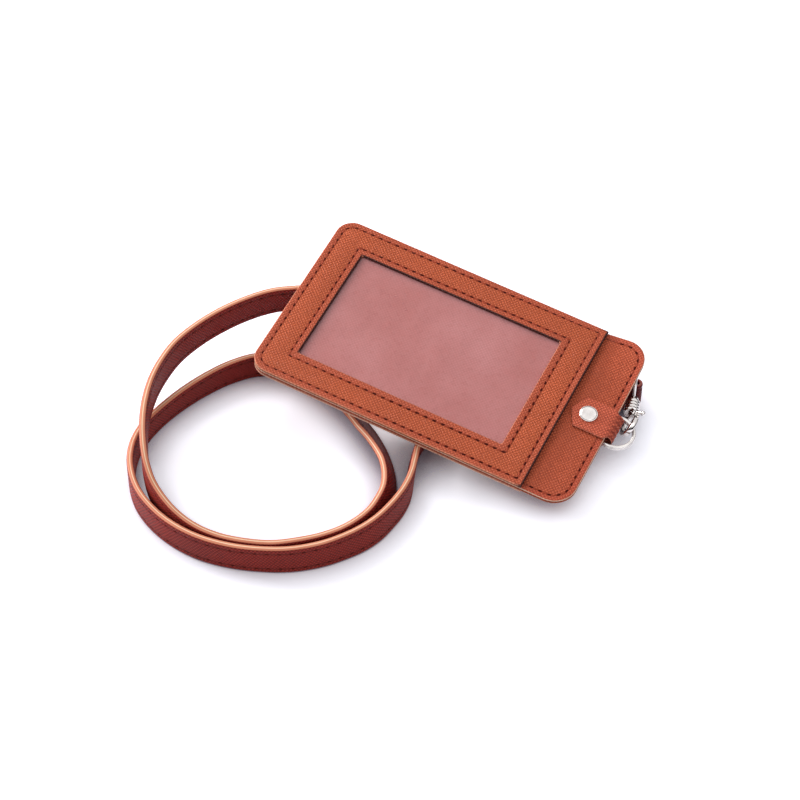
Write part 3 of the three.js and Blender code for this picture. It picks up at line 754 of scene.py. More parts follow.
def band_section(thick, wide, stitch=None, columns=2):
    """Section of a leather band: flat faces with a dip at each seam and rounded painted edges.

    Returns offsets across the thickness and the width, and the edge and seam masks of each point.
    The middle of each edge is the point at no offset across the thickness.
    """
    half_thick = thick / 2
    half_wide = wide / 2
    turn = np.linspace(0, math.pi / 2, 6)
    soft = min(EDGE_ROUND, 0.9 * half_thick)
    corner_thick = half_thick - soft + soft * np.cos(turn)
    corner_wide = half_wide - soft + soft * np.sin(turn)
    face = list(np.linspace(0.0, 0.5 * half_wide, columns))
    dip = [0.0] * columns
    seam = [0.0] * columns
    if stitch is not None:
        at = half_wide - stitch
        face += [at - 0.6, at - 0.25, at, at + 0.25, at + 0.6]
        dip += [0.0, 0.07, SEAM_DIP, 0.07, 0.0]
        seam += [0.0, 0.5, 1.0, 0.5, 0.0]
    flat = np.zeros(len(face))
    across = np.concatenate([half_thick - np.array(dip), corner_thick])
    along = np.concatenate([face, corner_wide])
    edge = np.concatenate([flat, np.clip((turn - 0.5) / 0.4, 0, 1)])
    seams = np.concatenate([seam, np.zeros(len(turn))])
    return (
        all_round(across, 0.0, mirror=-1.0, back=-1.0),
        all_round(along, half_wide, back=-1.0),
        all_round(edge, 1.0),
        all_round(seams, 0.0),
    )


def band(name, line, up, thick, wide, stitch, material):
    """Band: a section carried along its line, with a UV of the length and the way round the section."""
    thick_way, wide_way = band_frames(line, up)
    thick_offset, wide_offset, edge, seam = band_section(thick, wide, stitch)
    points = (
        line[:, None, :]
        + thick_offset[None, :, None] * thick_way[:, None, :]
        + wide_offset[None, :, None] * wide_way[:, None, :]
    )
    place = travelled(line)[:, None]
    round_section = wide_offset + np.sign(wide_offset) * (thick / 2 - np.abs(thick_offset))
    uv = np.stack(np.broadcast_arrays(place, round_section[None, :]), axis=-1).reshape(-1, 2)
    faces = [face[::-1] for face in tube_faces(len(line), len(thick_offset))]
    masks = {
        "edge": np.tile(edge, len(line)),
        "seam": np.tile(seam, len(line)),
        "inside": np.tile((thick_offset > 0).astype(float), len(line)),
        # Middle of each edge, where a painted highlight runs
        "ridge_highlight": np.tile((thick_offset == 0).astype(float), len(line)),
    }
    return piece(name, points.reshape(-1, 3), faces, material, "holder", uv=uv, masks=masks)


def strap_line(count=760):
    """Middle line of the strap and the way of its width, which leans about the line's level way."""
    rows = np.array(STRAP_ROUTE, float)
    line, share = catmull_rom(rows[:, :3] + PHOTO_SHIFT, count)
    lean = np.radians(np.interp(share, np.arange(len(rows)), rows[:, 3]))[:, None]
    level = unit(np.gradient(line, axis=0) * np.array([1, 1, 0]))
    upright = np.tile([0.0, 0.0, 1.0], (count, 1))
    return line, upright * np.cos(lean) - np.cross(level, upright) * np.sin(lean)


def neck_strap(material, finishes):
    """The strap and its four rows of stitches, two on each face."""
    line, up = strap_line()
    made = band("neck_strap", line, up, STRAP_THICK, STRAP_WIDE, STRAP_STITCH_INSET, material)
    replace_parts(made, "strap")
    thick, wide = band_frames(line, up)
    thread, hole = finishes
    for face, side in ((-1.0, "outer"), (1.0, "inner")):
        for row, end in ((1.0, "upper"), (-1.0, "lower")):
            seam = line + row * (STRAP_WIDE / 2 - STRAP_STITCH_INSET) * wide
            seam = seam + face * (STRAP_THICK / 2 - STRAP_SEAM_SINK) * thick
            with_normal = np.hstack([seam, face * thick])
            for kind, phase, size, finish in (
                ("stitches", 0.5, STRAP_THREAD_SIZE, thread),
                ("holes", 0.0, HOLE_SIZE, hole),
            ):
                placed, turned = resample(with_normal, STRAP_STITCH_PITCH, phase=phase)
                at, normal = placed[:, :3], placed[:, 3:]
                name = f"strap_{kind}_{side}_{end}"
                stitch_row(name, at, unit(turned[:, :3]), normal, size, finish, slant=0.0)


def eye_frame():
    """Eye's own ways: x away from the holder, y along the clasp, z down the bar."""
    place, upward = joint("eye_turn")
    _, along = joint("clasp_swivel")
    down = -upward
    return place, np.column_stack([np.cross(along, down), along, down])


def end_loop(material):
    """Leather loop round the bar: a band bent through given points of the eye's own plane."""
    place, turn = eye_frame()
    apart = STRAP_THICK + 2 * LOOP_GAP + LOOP_LEATHER / 2
    round_bar = BAR_RADIUS + BAR_CLEAR + LOOP_LEATHER / 2
    half = [
        (-LOOP_LONG, apart),
        (-0.75 * LOOP_LONG, apart),
        (-0.5 * LOOP_LONG, apart),
        (-0.26 * LOOP_LONG, 0.5 * (apart + round_bar) + 0.1),
        (-0.1, round_bar),
        (0.75 * round_bar, 0.95 * round_bar),
    ]
    knots = half + [(round_bar + LOOP_SLACK, 0.0)] + [(x, -y) for x, y in reversed(half)]
    line, _ = catmull_rom(at_height(np.array(knots), 0.0), 150)
    up = np.tile(turn[:, 2], (len(line), 1))
    placed = line @ turn.T + place
    made = band("strap_loop", placed, up, LOOP_LEATHER, LOOP_WIDE, LOOP_STITCH_INSET, material)
    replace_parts(made, "strap_end_loop")
    return made


def bezier(points, count):
    """Smooth curve from the first of four points to the last, drawn towards the two between."""
    t = np.linspace(0, 1, count)[:, None]
    left = 1 - t
    first, second, third, last = (np.array(point) for point in points)
    return left**3 * first + 3 * left**2 * t * second + 3 * left * t**2 * third + t**3 * last


def level_run(start, end, height, count):
    """Points of a level line in the side view."""
    return np.column_stack([np.linspace(start, end, count), np.full(count, height)])


def tab_side_view():
    """Middle line of the tab from its tip over the fold to its rear end, as place along and height."""
    top_line = CORE_TOP + GLUE + TAB_LEATHER / 2
    rear_line = CORE_BOTTOM - GLUE - TAB_LEATHER / 2
    below_ring = RING_LEVEL - RING_HIGH / 2 - RING_CLEAR - TAB_LEATHER / 2
    radius = (top_line - below_ring) / 2
    middle = (top_line + below_ring) / 2
    fold = HOLDER_LONG + FOLD_REACH - radius - TAB_LEATHER / 2
    tip = HOLDER_LONG - TAB_TIP
    step_start = RIVET_ALONG + RIVET_BACK + 0.1
    step_end = HOLDER_LONG + RING_BEYOND - RING_OUTER
    turn = np.linspace(math.pi / 2, -math.pi / 2, 40)
    step = bezier(
        [
            (step_end + 0.3, below_ring),
            (step_end - 0.9, below_ring),
            (step_start + 0.9, rear_line),
            (step_start, rear_line),
        ],
        20,
    )
    run = [
        level_run(tip + 0.15, fold, top_line, 60),
        np.column_stack([fold + radius * np.cos(turn), middle + radius * np.sin(turn)])[1:],
        step,
        level_run(step_start, HOLDER_LONG - TAB_LEG_END, rear_line, 8)[1:],
    ]
    return np.concatenate(run), tip, fold


def folded_tab(material):
    """Tab: a ribbon along its side view, as wide as its plan, with small creases across the fold.

    A crease is a wave across the width that wanders a little with the length. It is deepest on the
    fold, fades as a bell curve to both sides, and only dips into the leather. A mask paints shade
    across the fold, deepest in the troughs of the creases.
    """
    run, tip, fold = tab_side_view()
    place = travelled(run)
    way = unit(np.gradient(run, axis=0))
    normal = np.column_stack([-way[:, 1], way[:, 0]])
    half = np.interp(
        run[:, 0],
        [tip, tip + TAB_TIP_LONG, HOLDER_LONG - 0.5, fold + 0.6],
        [0.3, TAB_WIDE / 2, TAB_WIDE / 2, TAB_WAIST / 2],
    )[:, None]
    thick, across, edge, _ = band_section(TAB_LEATHER, 2.0, columns=14)
    flat_part = 1 - TAB_ROUND
    in_edge = np.abs(across) > flat_part
    side = np.sign(across)
    edge_width = side * half - side * (1 - np.abs(across))
    width = np.where(in_edge, edge_width, across / flat_part * (half - TAB_ROUND))
    crease = np.exp(-(((run[:, 0] - CREASE_PLACE) / CREASE_REACH) ** 2))[:, None]
    wander = 0.8 * np.sin(1.1 * place)[:, None]
    wave = np.sin(CREASE_TURNS * width + wander)
    face_up = (thick > 0).astype(float)
    lift = thick + CREASE_DEPTH / 2 * crease * (wave - 1) * face_up
    x = run[:, 0, None] + lift * normal[:, 0, None]
    z = run[:, 1, None] + lift * normal[:, 1, None]
    points = np.stack([x, TAB_LINE + width, z], axis=-1).reshape(-1, 3)
    faces = tube_faces(len(run), len(thick))
    uv = np.stack(np.broadcast_arrays(place[:, None] + tip, width), axis=-1).reshape(-1, 2)
    masks = {
        "edge": np.tile(edge, len(run)),
        "seam": np.zeros(len(points)),
        # Painted shade across the fold, deepest in the troughs of the creases
        "fold": (crease * (0.75 - 0.5 * wave)).ravel(),
        "rise": np.tile(face_up, len(run)),
    }
    made = piece("folded_tab", on_holder(points), faces, material, "holder", uv=uv, masks=masks)
    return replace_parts(made, "closure_tab")


def rivet_dome(material):
    """Rivet cap: a low dome with a rolled rim, and its pin, turned about the rivet's line.

    The profile's radius and height are powers of the cosine and the sine of one angle.
    """
    seat = CORE_TOP + 2 * GLUE + TAB_LEATHER
    centre = 0.02
    rim_top = 0.3
    pin_end = seat - RIVET_PIN_LONG
    rise = np.linspace(0, math.pi / 2, 14)
    dome_radius = (RIVET_CAP - rim_top) * np.cos(rise) ** 0.6
    dome_height = seat + rim_top + (RIVET_CAP_HIGH - rim_top) * np.sin(rise) ** 0.6
    rim_turn = np.linspace(-math.pi / 2, math.pi / 2, 7)[:-1]
    rim_radius = RIVET_CAP - RIVET_RIM + RIVET_RIM * np.cos(rim_turn)
    rim_height = seat + RIVET_RIM + 0.02 + RIVET_RIM * np.sin(rim_turn)
    profile = np.concatenate(
        [
            [[centre, pin_end], [RIVET_PIN, pin_end], [RIVET_PIN, seat + 0.02]],
            np.column_stack([rim_radius, rim_height]),
            np.column_stack([dome_radius, dome_height]),
        ]
    )
    profile[-1, 0] = centre
    angle = np.linspace(0, 2 * math.pi, 65)[:-1]
    x = RIVET_ALONG + profile[:, 0, None] * np.cos(angle)
    y = TAB_LINE + profile[:, 0, None] * np.sin(angle)
    z = np.broadcast_to(profile[:, 1, None], x.shape)
    points = np.stack([x, y, z], axis=-1).reshape(-1, 3)
    faces = tube_faces(len(profile), len(angle))
    made = piece("rivet_dome", on_holder(points), faces, material, "holder")
    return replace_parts(made, "rivet_cap")


def squared_off(value):
    """Sine or cosine of a rounded rectangle's section, where a power below 1 fills its corners."""
    return np.sign(value) * np.abs(value) ** 0.7


def wound_ring(material):
    """Split ring: a rounded flat wire carried twice round a circle, stepping up halfway."""
    radius = RING_OUTER - RING_WIRE_WIDE / 2
    climb = RING_WIRE_HIGH + RING_GAP
    whole = math.radians(716)
    jog = math.radians(50)
    turned = np.linspace(0, whole, 320)
    share = np.clip((turned - whole / 2) / jog + 0.5, 0, 1)
    level = climb * (share**2 * (3 - 2 * share) - 0.5)
    angle = math.radians(150) + turned
    middle = np.column_stack([radius * np.cos(angle), radius * np.sin(angle), level])
    outward = np.column_stack([np.cos(angle), np.sin(angle), np.zeros(len(angle))])
    turn = np.linspace(0, 2 * math.pi, 17)[:-1]
    wide = 1.12 * RING_WIRE_WIDE / 2 * squared_off(np.cos(turn))
    high = 1.1 * RING_WIRE_HIGH / 2 * squared_off(np.sin(turn))
    upward = np.array([0, 0, 1.0])
    own = middle[:, None, :] + wide[None, :, None] * outward[:, None, :] + high[None, :, None] * upward
    centre = np.array([HOLDER_LONG + RING_BEYOND, TAB_LINE, RING_LEVEL])
    faces = tube_faces(len(angle), len(turn))
    made = piece("key_ring", on_holder(own.reshape(-1, 3) + centre), faces, material, "ring")
    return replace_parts(made, "split_ring")


def eased_copy(node, name, material, body):
    """Copy of a cast or turned piece, with its doubles merged and its sharp corners eased.

    Its curves are shaded round, and only corners sharper than the limit stay sharp.
    """
    sharp = math.radians(38)
    mesh = frame["nodes"][node].data.copy()
    mesh.name = name
    made = new_object(name, mesh)
    mesh.materials.clear()
    mesh.materials.append(material)
    shape = bmesh.new()
    shape.from_mesh(mesh)
    bmesh.ops.remove_doubles(shape, verts=shape.verts, dist=2e-6)
    bmesh.ops.dissolve_limit(shape, angle_limit=math.radians(1.5), verts=shape.verts, edges=shape.edges)
    bmesh.ops.recalc_face_normals(shape, faces=shape.faces)
    shape.to_mesh(mesh)
    shape.free()
    bevel = made.modifiers.new("eased", "BEVEL")
    bevel.width = 0.12 * MM
    bevel.segments = 2
    bevel.limit_method = "ANGLE"
    bevel.angle_limit = sharp
    bevel.use_clamp_overlap = True
    bevel.harden_normals = False
    smooth_faces(mesh)
    mesh.set_sharp_from_angle(angle=sharp)
    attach(made, body)
    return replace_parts(made, node)


# Finishes: colours are written as they look on a screen, from 0 to 255
def shade(red, green, blue):
    """Colour for a shader from its screen values."""
    values = np.array([red, green, blue]) / 255
    linear = np.where(values > 0.04045, ((values + 0.055) / 1.055) ** 2.4, values / 12.92)
    return (*linear.tolist(), 1.0)


def connect(tree, node, inputs):
    """Values or links for a node's inputs, by name or by number."""
    for key, value in inputs.items():
        if isinstance(value, bpy.types.NodeSocket):
            tree.links.new(value, node.inputs[key])
        else:
            node.inputs[key].default_value = value


def add(tree, kind, inputs=None, **settings):
    """A node with its settings, and with values or links for its inputs."""
    made = tree.nodes.new(kind)
    for key, value in settings.items():
        setattr(made, key, value)
    connect(tree, made, inputs or {})
    return made


def maths(tree, operation, first, second=0.0):
    """Result of one sum on values or sockets."""
    return add(tree, "ShaderNodeMath", {0: first, 1: second}, operation=operation).outputs[0]


def times(tree, first, second):
    """Product of two values or sockets."""
    return maths(tree, "MULTIPLY", first, second)


def plus(tree, first, second):
    """Sum of two values or sockets."""
    return maths(tree, "ADD", first, second)


def mixed(tree, factor, first, second, blend="MIX"):
    """Mix of two colours."""
    inputs = {0: factor, 6: first, 7: second}
    return add(tree, "ShaderNodeMix", inputs, data_type="RGBA", blend_type=blend).outputs[2]


def between(tree, factor, first, second):
    """Value between two values."""
    return add(tree, "ShaderNodeMix", {0: factor, 2: first, 3: second}).outputs[0]


def noise(tree, place, scale, detail, distortion=0.0):
    """Cloudy pattern from 0 to 1."""
    inputs = {"Vector": place, "Scale": scale, "Detail": detail, "Distortion": distortion}
    return add(tree, "ShaderNodeTexNoise", inputs).outputs["Fac"]


def ranged(tree, value, low, high, to_low=0.0, to_high=1.0):
    """Value moved from one range to another and held inside it."""
    inputs = {"Value": value, "From Min": low, "From Max": high, "To Min": to_low, "To Max": to_high}
    return add(tree, "ShaderNodeMapRange", inputs).outputs["Result"]


def new_group(name, inputs, outputs):
    """Node group with named inputs and outputs: its tree, its input sockets and its output node.

    An input without a start value is a place, and the rest are values.
    """
    tree = bpy.data.node_groups.new(name, "ShaderNodeTree")
    for socket, start in inputs.items():
        kind = "NodeSocketVector" if start is None else "NodeSocketFloat"
        made = tree.interface.new_socket(name=socket, in_out="INPUT", socket_type=kind)
        if start is not None:
            made.default_value = start
    for socket in outputs:
        tree.interface.new_socket(name=socket, in_out="OUTPUT", socket_type="NodeSocketFloat")
    return tree, tree.nodes.new("NodeGroupInput").outputs, tree.nodes.new("NodeGroupOutput")


def placed_group(tree, group, inputs):
    """The outputs of a group placed in a material with its own values."""
    return add(tree, "ShaderNodeGroup", inputs, node_tree=group).outputs


def cross_grain_group():
    """Embossed cross-hatch: two families of grooves cross at an angle and leave small raised grains.

    Height is a power of the product of the two waves, high only where both are. Valley is 1 in the
    grooves. Both fade where Calm is 1.
    """
    inputs = {"Place": None, "Pitch": GRAIN_PITCH, "Calm": 0.0}
    tree, given, out = new_group("cross_grain", inputs, ("Height", "Valley"))
    waver = noise(tree, given["Place"], 0.55, 2.0)
    fine = noise(tree, given["Place"], 1.9, 3.0)
    split = add(tree, "ShaderNodeSeparateXYZ", {0: given["Place"]})
    across = times(tree, maths(tree, "SUBTRACT", waver, 0.5), 0.5)
    wobble = times(tree, maths(tree, "SUBTRACT", fine, 0.5), 0.3)
    families = []
    for angle in (math.radians(47), math.radians(-38)):
        x_part = times(tree, split.outputs[0], math.cos(angle))
        y_part = times(tree, split.outputs[1], math.sin(angle))
        line = plus(tree, plus(tree, x_part, y_part), plus(tree, across, wobble))
        turn = times(tree, maths(tree, "DIVIDE", line, given["Pitch"]), 2 * math.pi)
        families.append(times(tree, plus(tree, maths(tree, "SINE", turn), 1.0), 0.5))
    height = maths(tree, "POWER", times(tree, families[0], families[1]), 0.6)
    left = maths(tree, "SUBTRACT", 1.0, given["Calm"])
    patchy = ranged(tree, waver, 0.3, 0.7, 0.75, 1.0)
    valley = times(tree, ranged(tree, height, 0.62, 0.16), patchy)
    connect(tree, out, {"Height": times(tree, height, left), "Valley": times(tree, valley, left)})
    return tree


def handling_group():
    """Slow changes of colour and gloss from the hide and from wear: broad clouds and small flecks."""
    inputs = {"Place": None, "Cloud Scale": 0.045, "Fleck Scale": 0.9}
    tree, given, out = new_group("handling", inputs, ("Cloud", "Fleck"))
    cloud = noise(tree, given["Place"], given["Cloud Scale"], 3.0)
    fleck = noise(tree, given["Place"], given["Fleck Scale"], 4.0)
    cloud = ranged(tree, cloud, 0.3, 0.7)
    connect(tree, out, {"Cloud": cloud, "Fleck": ranged(tree, fleck, 0.38, 0.62)})
    return tree


CROSS_GRAIN = cross_grain_group()
HANDLING = handling_group()


def blank(name):
    """New material with its shader, and the shader's tree."""
    material = bpy.data.materials.new(name)
    material.use_nodes = True
    tree = material.node_tree
    return material, tree, tree.nodes["Principled BSDF"]


def set_shader(tree, shader, inputs, relief=None):
    """Values and links of a shader; relief is the height, strength and depth in mm of its bump."""
    connect(tree, shader, inputs)
    if relief is not None:
        height, strength, depth = relief
        values = {"Height": height, "Strength": strength, "Distance": depth * MM}
        bump = add(tree, "ShaderNodeBump", values)
        connect(tree, shader, {"Normal": bump.outputs["Normal"]})


def flat_place(tree):
    """Place on the leather in millimetres, from the piece's own map."""
    return add(tree, "ShaderNodeUVMap", uv_map="length_width").outputs["UV"]


def solid_place(tree, stretch=None):
    """Place in space in millimetres, drawn out along one way where a pattern needs it."""
    place = add(tree, "ShaderNodeTexCoord").outputs["Object"]
    scaled = add(tree, "ShaderNodeVectorMath", {0: place, "Scale": 1 / MM}, operation="SCALE")
    if stretch is None:
        return scaled.outputs["Vector"]
    inputs = {"Vector": scaled.outputs["Vector"], "Scale": stretch}
    return add(tree, "ShaderNodeMapping", inputs).outputs["Vector"]


def mask(tree, name):
    """A mask of the piece's own, from 0 to 1."""
    return add(tree, "ShaderNodeAttribute", attribute_name=name).outputs["Fac"]


def toned(tree, colour, handled, cloud, fleck):
    """Colour made darker and lighter by the clouds and the flecks, each over its own range."""
    clouded = ranged(tree, handled["Cloud"], 0, 1, *cloud)
    tone = times(tree, clouded, ranged(tree, handled["Fleck"], 0, 1, *fleck))
    grey = add(tree, "ShaderNodeCombineColor", {0: tone, 1: tone, 2: tone}).outputs[0]
    return mixed(tree, 1.0, colour, grey, "MULTIPLY")


def seen_rays(tree):
    """1 for a ray that sees the white studio, and the outputs that tell the kinds of ray.

    It is seen by the camera itself, in a mirror or through glass.
    """
    path = add(tree, "ShaderNodeLightPath").outputs
    seen = plus(tree, path["Is Camera Ray"], path["Is Glossy Ray"])
    return maths(tree, "MINIMUM", plus(tree, seen, path["Is Transmission Ray"]), 1.0), path


def cross_hatched_leather(name, face, border, valley, edge_light, edge_dark, fold=None):
    """Cross-hatched coated leather: one colour inside the stitching and another in its border.

    The cut edge is painted in thin layers. The thread's dip, the creases and the walls of the openings
    are darker with painted shade.
    """
    material, tree, shader = blank(name)
    place = flat_place(tree)
    in_border = mask(tree, "border")
    calm = times(tree, in_border, 0.1)
    grain = placed_group(tree, CROSS_GRAIN, {"Place": place, "Pitch": GRAIN_PITCH, "Calm": calm})
    handled = placed_group(tree, HANDLING, {"Place": place})
    colour = mixed(tree, in_border, face, border)
    colour = mixed(tree, times(tree, grain["Valley"], 0.66), colour, valley)
    colour = toned(tree, colour, handled, (0.93, 1.06), (0.95, 1.05))
    # Painted shade in the dip that the thread pulls into the face
    colour = mixed(tree, times(tree, mask(tree, "seam"), 0.6), colour, shade(104, 30, 16))
    # Painted shade on a tab's fold and in its creases
    if fold is not None:
        colour = mixed(tree, times(tree, mask(tree, "fold"), 0.6), colour, fold)
    rise = mask(tree, "rise")
    paint = mixed(tree, ranged(tree, rise, 0.45, 0.95), edge_dark, edge_light)
    paint = mixed(tree, ranged(tree, rise, 0.16, 0.03), paint, shade(70, 26, 16))
    colour = mixed(tree, ranged(tree, mask(tree, "edge"), 0.25, 0.9), colour, paint)
    # Painted shade on the walls of the slot's mouth and of the window
    colour = mixed(tree, mask(tree, "painted_wall_shade"), colour, shade(58, 14, 8))
    rough = ranged(tree, handled["Cloud"], 0, 1, 0.44, 0.54)
    rough = plus(tree, rough, times(tree, grain["Valley"], 0.14))
    height = plus(tree, grain["Height"], times(tree, handled["Fleck"], 0.1))
    inputs = {"Base Color": colour, "Roughness": rough, "Specular IOR Level": 0.3}
    set_shader(tree, shader, inputs, relief=(height, 0.8, 0.28))
    return material


def strap_leather(name, outer, inner, edge_light, edge_dark, seam_dark):
    """Cross-hatched strap leather: its own colour on each face, and painted shade in the dips under the
    stitches.

    The edge is painted, with a pale painted highlight along its middle, where the two plies meet in a
    glossy ridge.
    """
    material, tree, shader = blank(name)
    place = flat_place(tree)
    edge = mask(tree, "edge")
    handled = placed_group(tree, HANDLING, {"Place": place, "Cloud Scale": 0.06, "Fleck Scale": 1.6})
    grain = placed_group(tree, CROSS_GRAIN, {"Place": place, "Pitch": GRAIN_PITCH, "Calm": 0.0})
    colour = mixed(tree, mask(tree, "inside"), outer, inner)
    colour = toned(tree, colour, handled, (0.9, 1.08), (0.94, 1.06))
    # Painted shade in the dips under the stitches, and the grain's own darker valleys
    in_seam = times(tree, mask(tree, "seam"), 0.7)
    dark = maths(tree, "MAXIMUM", in_seam, times(tree, grain["Valley"], 0.85))
    colour = mixed(tree, dark, colour, seam_dark)
    paint = mixed(tree, handled["Cloud"], edge_dark, edge_light)
    # Painted highlight along the middle of the edge
    paint = mixed(tree, ranged(tree, mask(tree, "ridge_highlight"), 0.3, 0.9), paint, shade(255, 228, 192))
    colour = mixed(tree, ranged(tree, edge, 0.3, 0.85), colour, paint)
    rough = ranged(tree, handled["Cloud"], 0, 1, 0.46, 0.56)
    rough = maths(tree, "SUBTRACT", rough, times(tree, edge, 0.08))
    height = plus(tree, grain["Height"], times(tree, handled["Fleck"], 0.1))
    height = times(tree, height, maths(tree, "SUBTRACT", 1.0, edge))
    inputs = {"Base Color": colour, "Roughness": rough, "Specular IOR Level": 0.14}
    set_shader(tree, shader, inputs, relief=(height, 0.7, 0.24))
    return material


def waxed_thread(name, dark, light):
    """Waxed thread: fine strands twisted across each stitch."""
    material, tree, shader = blank(name)
    inputs = {"Vector": solid_place(tree), "Scale": 1.1, "Distortion": 2.0, "Detail": 1.0}
    twist = add(tree, "ShaderNodeTexWave", inputs, bands_direction="DIAGONAL").outputs["Fac"]
    colour = mixed(tree, twist, dark, light)
    inputs = {"Base Color": colour, "Roughness": 0.6, "Specular IOR Level": 0.2}
    set_shader(tree, shader, inputs, relief=(twist, 0.4, 0.1))
    return material


def needle_hole():
    """Needle hole: a nearly black-brown blob of painted shade for the hole, darker in some holes than
    in others.
    """
    material, tree, shader = blank("needle_hole")
    # Painted shade, darker in some holes than in others
    depth = noise(tree, solid_place(tree), 0.35, 2.0)
    colour = mixed(tree, depth, shade(50, 6, 3), shade(92, 24, 14))
    set_shader(tree, shader, {"Base Color": colour, "Roughness": 0.8, "Specular IOR Level": 0.1})
    return material


def cloudy_film():
    """Soft clear film: slightly milky, with slow waves that catch the light and faint rubbed patches.

    The leather's grain shows through it faintly. Under the window's left and far walls it is darker and
    more milky with painted shade.
    """
    material, tree, shader = blank("cloudy_film")
    place = flat_place(tree)
    handled = placed_group(tree, HANDLING, {"Place": place, "Cloud Scale": 0.035, "Fleck Scale": 0.5})
    slow = noise(tree, place, 0.09, 1.0, distortion=0.6)
    seen_grain = placed_group(tree, CROSS_GRAIN, {"Place": place, "Pitch": GRAIN_PITCH})
    colour = mixed(tree, handled["Cloud"], shade(231, 154, 152), shade(243, 170, 170))
    colour = mixed(tree, times(tree, seen_grain["Valley"], 0.3), colour, shade(176, 96, 94))
    # Painted shade under the window's walls: a darker colour and more milk
    film_wall_shade = mask(tree, "film_wall_shade")
    colour = mixed(tree, film_wall_shade, colour, shade(112, 66, 72))
    milky = plus(tree, ranged(tree, handled["Cloud"], 0, 1, 0.46, 0.54), times(tree, film_wall_shade, 0.3))
    inputs = {
        "Base Color": colour,
        "Alpha": milky,
        "Roughness": ranged(tree, handled["Fleck"], 0, 1, 0.26, 0.34),
        "Specular IOR Level": 0.55,
    }
    set_shader(tree, shader, inputs, relief=(slow, 0.35, 1.6))
    return material


def plated_nickel():
    """Bright nickel plate: faint polishing lines, small dull spots and slightly darker clouds."""
    material, tree, shader = blank("plated_nickel")
    place = solid_place(tree)
    handled = placed_group(tree, HANDLING, {"Place": place, "Cloud Scale": 0.25, "Fleck Scale": 2.2})
    lines = noise(tree, solid_place(tree, stretch=(0.6, 6.0, 0.6)), 1.4, 3.0)
    colour = mixed(tree, handled["Cloud"], shade(202, 196, 194), shade(238, 233, 230))
    rough = plus(tree, ranged(tree, handled["Fleck"], 0, 1, 0.1, 0.17), times(tree, lines, 0.05))
    inputs = {"Base Color": colour, "Metallic": 1.0, "Roughness": rough}
    set_shader(tree, shader, inputs, relief=(lines, 0.12, 0.08))
    return material


def pressed_board():
    """Grey-brown pressed board with short fibres, inside the holder."""
    material, tree, shader = blank("pressed_board")
    fibres = noise(tree, solid_place(tree, stretch=(1.0, 5.0, 5.0)), 0.8, 4.0)
    colour = mixed(tree, fibres, shade(120, 98, 78), shade(168, 146, 120))
    set_shader(tree, shader, {"Base Color": colour, "Roughness": 0.85}, relief=(fibres, 0.3, 0.1))
    return material


def pale_floor():
    """Matt white paper that looks white to the camera and keeps the shadow.

    Where something is near above it, it shines less and turns blue-grey: painted shade, darkest where
    something touches it.
    """
    material, tree, shader = blank("pale_paper")
    seen, _ = seen_rays(tree)
    inputs = {"Distance": CONTACT_REACH * MM}
    near_by = add(tree, "ShaderNodeAmbientOcclusion", inputs, samples=8).outputs["AO"]
    # The floor's glow for the camera fades where something is near: painted shade
    lift = ranged(tree, near_by, 0.42, 0.88, 0.0, FLOOR_LIFT)
    # Colour of the painted shade where something touches the floor
    contact_shade = (0.2, 0.2, 0.34, 1)
    clear = (0.86, 0.87, 0.96, 1)
    inputs = {
        "Base Color": mixed(tree, ranged(tree, near_by, 0.1, 0.5), contact_shade, clear),
        "Roughness": 0.95,
        "Specular IOR Level": 0.1,
        "Emission Color": (0.965, 0.96, 1, 1),
        "Emission Strength": times(tree, seen, lift),
    }
    set_shader(tree, shader, inputs)
    return material


holder_leather = cross_hatched_leather(
    "cross_hatched_leather",
    face=shade(213, 104, 63),
    border=shade(209, 100, 67),
    valley=shade(150, 52, 24),
    edge_light=shade(232, 148, 116),
    edge_dark=shade(158, 84, 52),
)
rear_leather = cross_hatched_leather(
    "cross_hatched_back",
    face=shade(222, 112, 74),
    border=shade(220, 108, 78),
    valley=shade(148, 50, 24),
    edge_light=shade(244, 216, 200),
    edge_dark=shade(226, 170, 144),
)
core_leather = cross_hatched_leather(
    "cross_hatched_strip",
    face=shade(218, 104, 68),
    border=shade(214, 98, 68),
    valley=shade(142, 46, 24),
    edge_light=shade(250, 222, 196),
    edge_dark=shade(176, 92, 64),
)
tab_leather = cross_hatched_leather(
    "cross_hatched_tab",
    face=shade(236, 114, 82),
    border=shade(236, 114, 82),
    valley=shade(142, 46, 30),
    edge_light=shade(208, 120, 96),
    edge_dark=shade(120, 48, 32),
    # Colour of the painted shade on the fold and in its creases
    fold=shade(110, 26, 18),
)
strap_finish = strap_leather(
    "painted_edge_strap",
    outer=shade(166, 54, 44),
    inner=shade(164, 48, 38),
    edge_light=shade(228, 148, 118),
    edge_dark=shade(214, 132, 102),
    seam_dark=shade(78, 18, 16),
)
# The strap's leather made darker and more purple for the end loop, whose place lies in shade: painted
# shade
loop_finish_in_shade = strap_leather(
    "painted_edge_loop_in_shade",
    outer=shade(130, 44, 48),
    inner=shade(108, 34, 38),
    edge_light=shade(190, 106, 100),
    edge_dark=shade(168, 88, 84),
    seam_dark=shade(74, 18, 22),
)
hole_finish = needle_hole()
holder_seam = (waxed_thread("waxed_thread", shade(150, 54, 32), shade(188, 84, 54)), hole_finish)
strap_seam = (waxed_thread("waxed_strap_thread", shade(88, 26, 22), shade(122, 40, 34)), hole_finish)
film_finish = cloudy_film()
nickel_finish = plated_nickel()
board_finish = pressed_board()


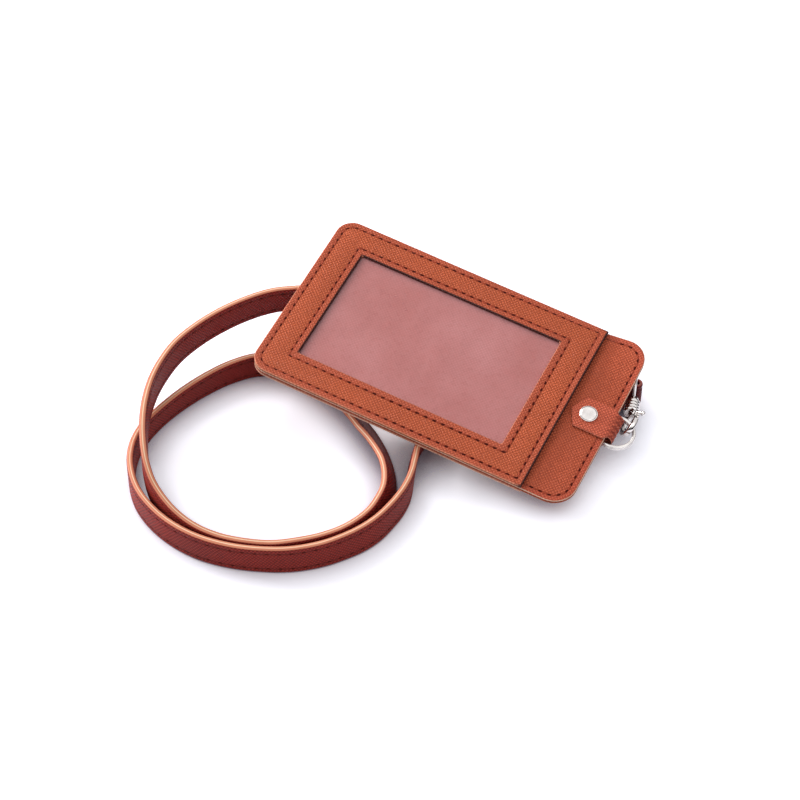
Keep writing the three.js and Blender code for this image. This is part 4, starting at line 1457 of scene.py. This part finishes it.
def dress():
    """Makes every piece: the strap first, then the holder, its tab and its metal parts."""
    neck_strap(strap_finish, strap_seam)
    end_loop(loop_finish_in_shade)
    for sheet, node, bottom, face_up in (
        ("front_lining", "front_sheet", CORE_TOP - CORE_LEATHER, True),
        ("rear_lining", "rear_sheet", CORE_BOTTOM, False),
    ):
        made = plate(sheet, HOLDER_LONG, bottom, CORE_LEATHER, STRIP_CORNER, core_leather, face_up)
        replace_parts(made, node)
    made = plate("rear_leather", SLOT_LONG, 0.0, REAR_LEATHER, SLOT_CORNER, rear_leather, False)
    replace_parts(made, "rear_pocket_panel")
    window_frame(holder_leather)
    film_sheet(film_finish)
    folded_tab(tab_leather)
    holder_stitching(holder_seam)
    rivet_dome(nickel_finish)
    wound_ring(nickel_finish)
    for node, name, body in (
        ("clasp_body", "claw_and_barrel", "clasp"),
        ("trigger_lever", "trigger", "lever"),
        ("swivel_eye", "swivel_bar", "eye"),
    ):
        eased_copy(node, name, nickel_finish, body)
    for node, finish in (
        ("rivet_back", nickel_finish),
        ("lever_pin", nickel_finish),
        ("stiffener", board_finish),
    ):
        kept = frame["nodes"][node].data.materials
        if len(kept) == 0:
            kept.append(finish)
        for i in range(len(kept)):
            kept[i] = finish


dress()


def soft_lamp(name, place, size, energy):
    """Square soft lamp turned to face the object; its place and size are in millimetres."""
    data = bpy.data.lights.new(name, "AREA")
    data.shape = "SQUARE"
    data.size = size * MM
    data.energy = energy
    lamp = new_object(name, data)
    lamp.location = Vector(place) * MM
    face_along(lamp, -Vector(place))


def studio():
    """Pale floor, three soft lamps and a white surround, which metal mirrors darker low down."""
    half = FLOOR_HALF
    corners = np.array([[-half, -half, 0], [half, -half, 0], [half, half, 0], [-half, half, 0]], float)
    mesh = bpy.data.meshes.new("pale_floor")
    mesh.from_pydata((corners * MM).tolist(), [], [[0, 1, 2, 3]])
    mesh.materials.append(pale_floor())
    floor = new_object("pale_floor", mesh)
    soft_lamp("upper_left_lamp", place=(-750, 420, 900), size=520, energy=4.75)
    soft_lamp("right_fill_lamp", place=(700, -500, 700), size=700, energy=1.0)
    soft_lamp("low_left_lamp", place=(-700, -60, 220), size=260, energy=4.6)
    world = bpy.data.worlds.new("white_surround")
    world.use_nodes = True
    tree = world.node_tree
    seen, path = seen_rays(tree)
    way = add(tree, "ShaderNodeTexCoord").outputs["Generated"]
    height = add(tree, "ShaderNodeSeparateXYZ", {0: way}).outputs[2]
    mirrored = ranged(tree, height, 0.3, 0.62, 0.02, 1.2)
    shown = between(tree, path["Is Glossy Ray"], 1.0, mirrored)
    inputs = {"Color": (1, 1, 1, 1), "Strength": between(tree, seen, 0.5, shown)}
    connect(tree, tree.nodes["Background"], inputs)
    bpy.context.scene.world = world
    bpy.context.scene.view_settings.view_transform = "Standard"


studio()
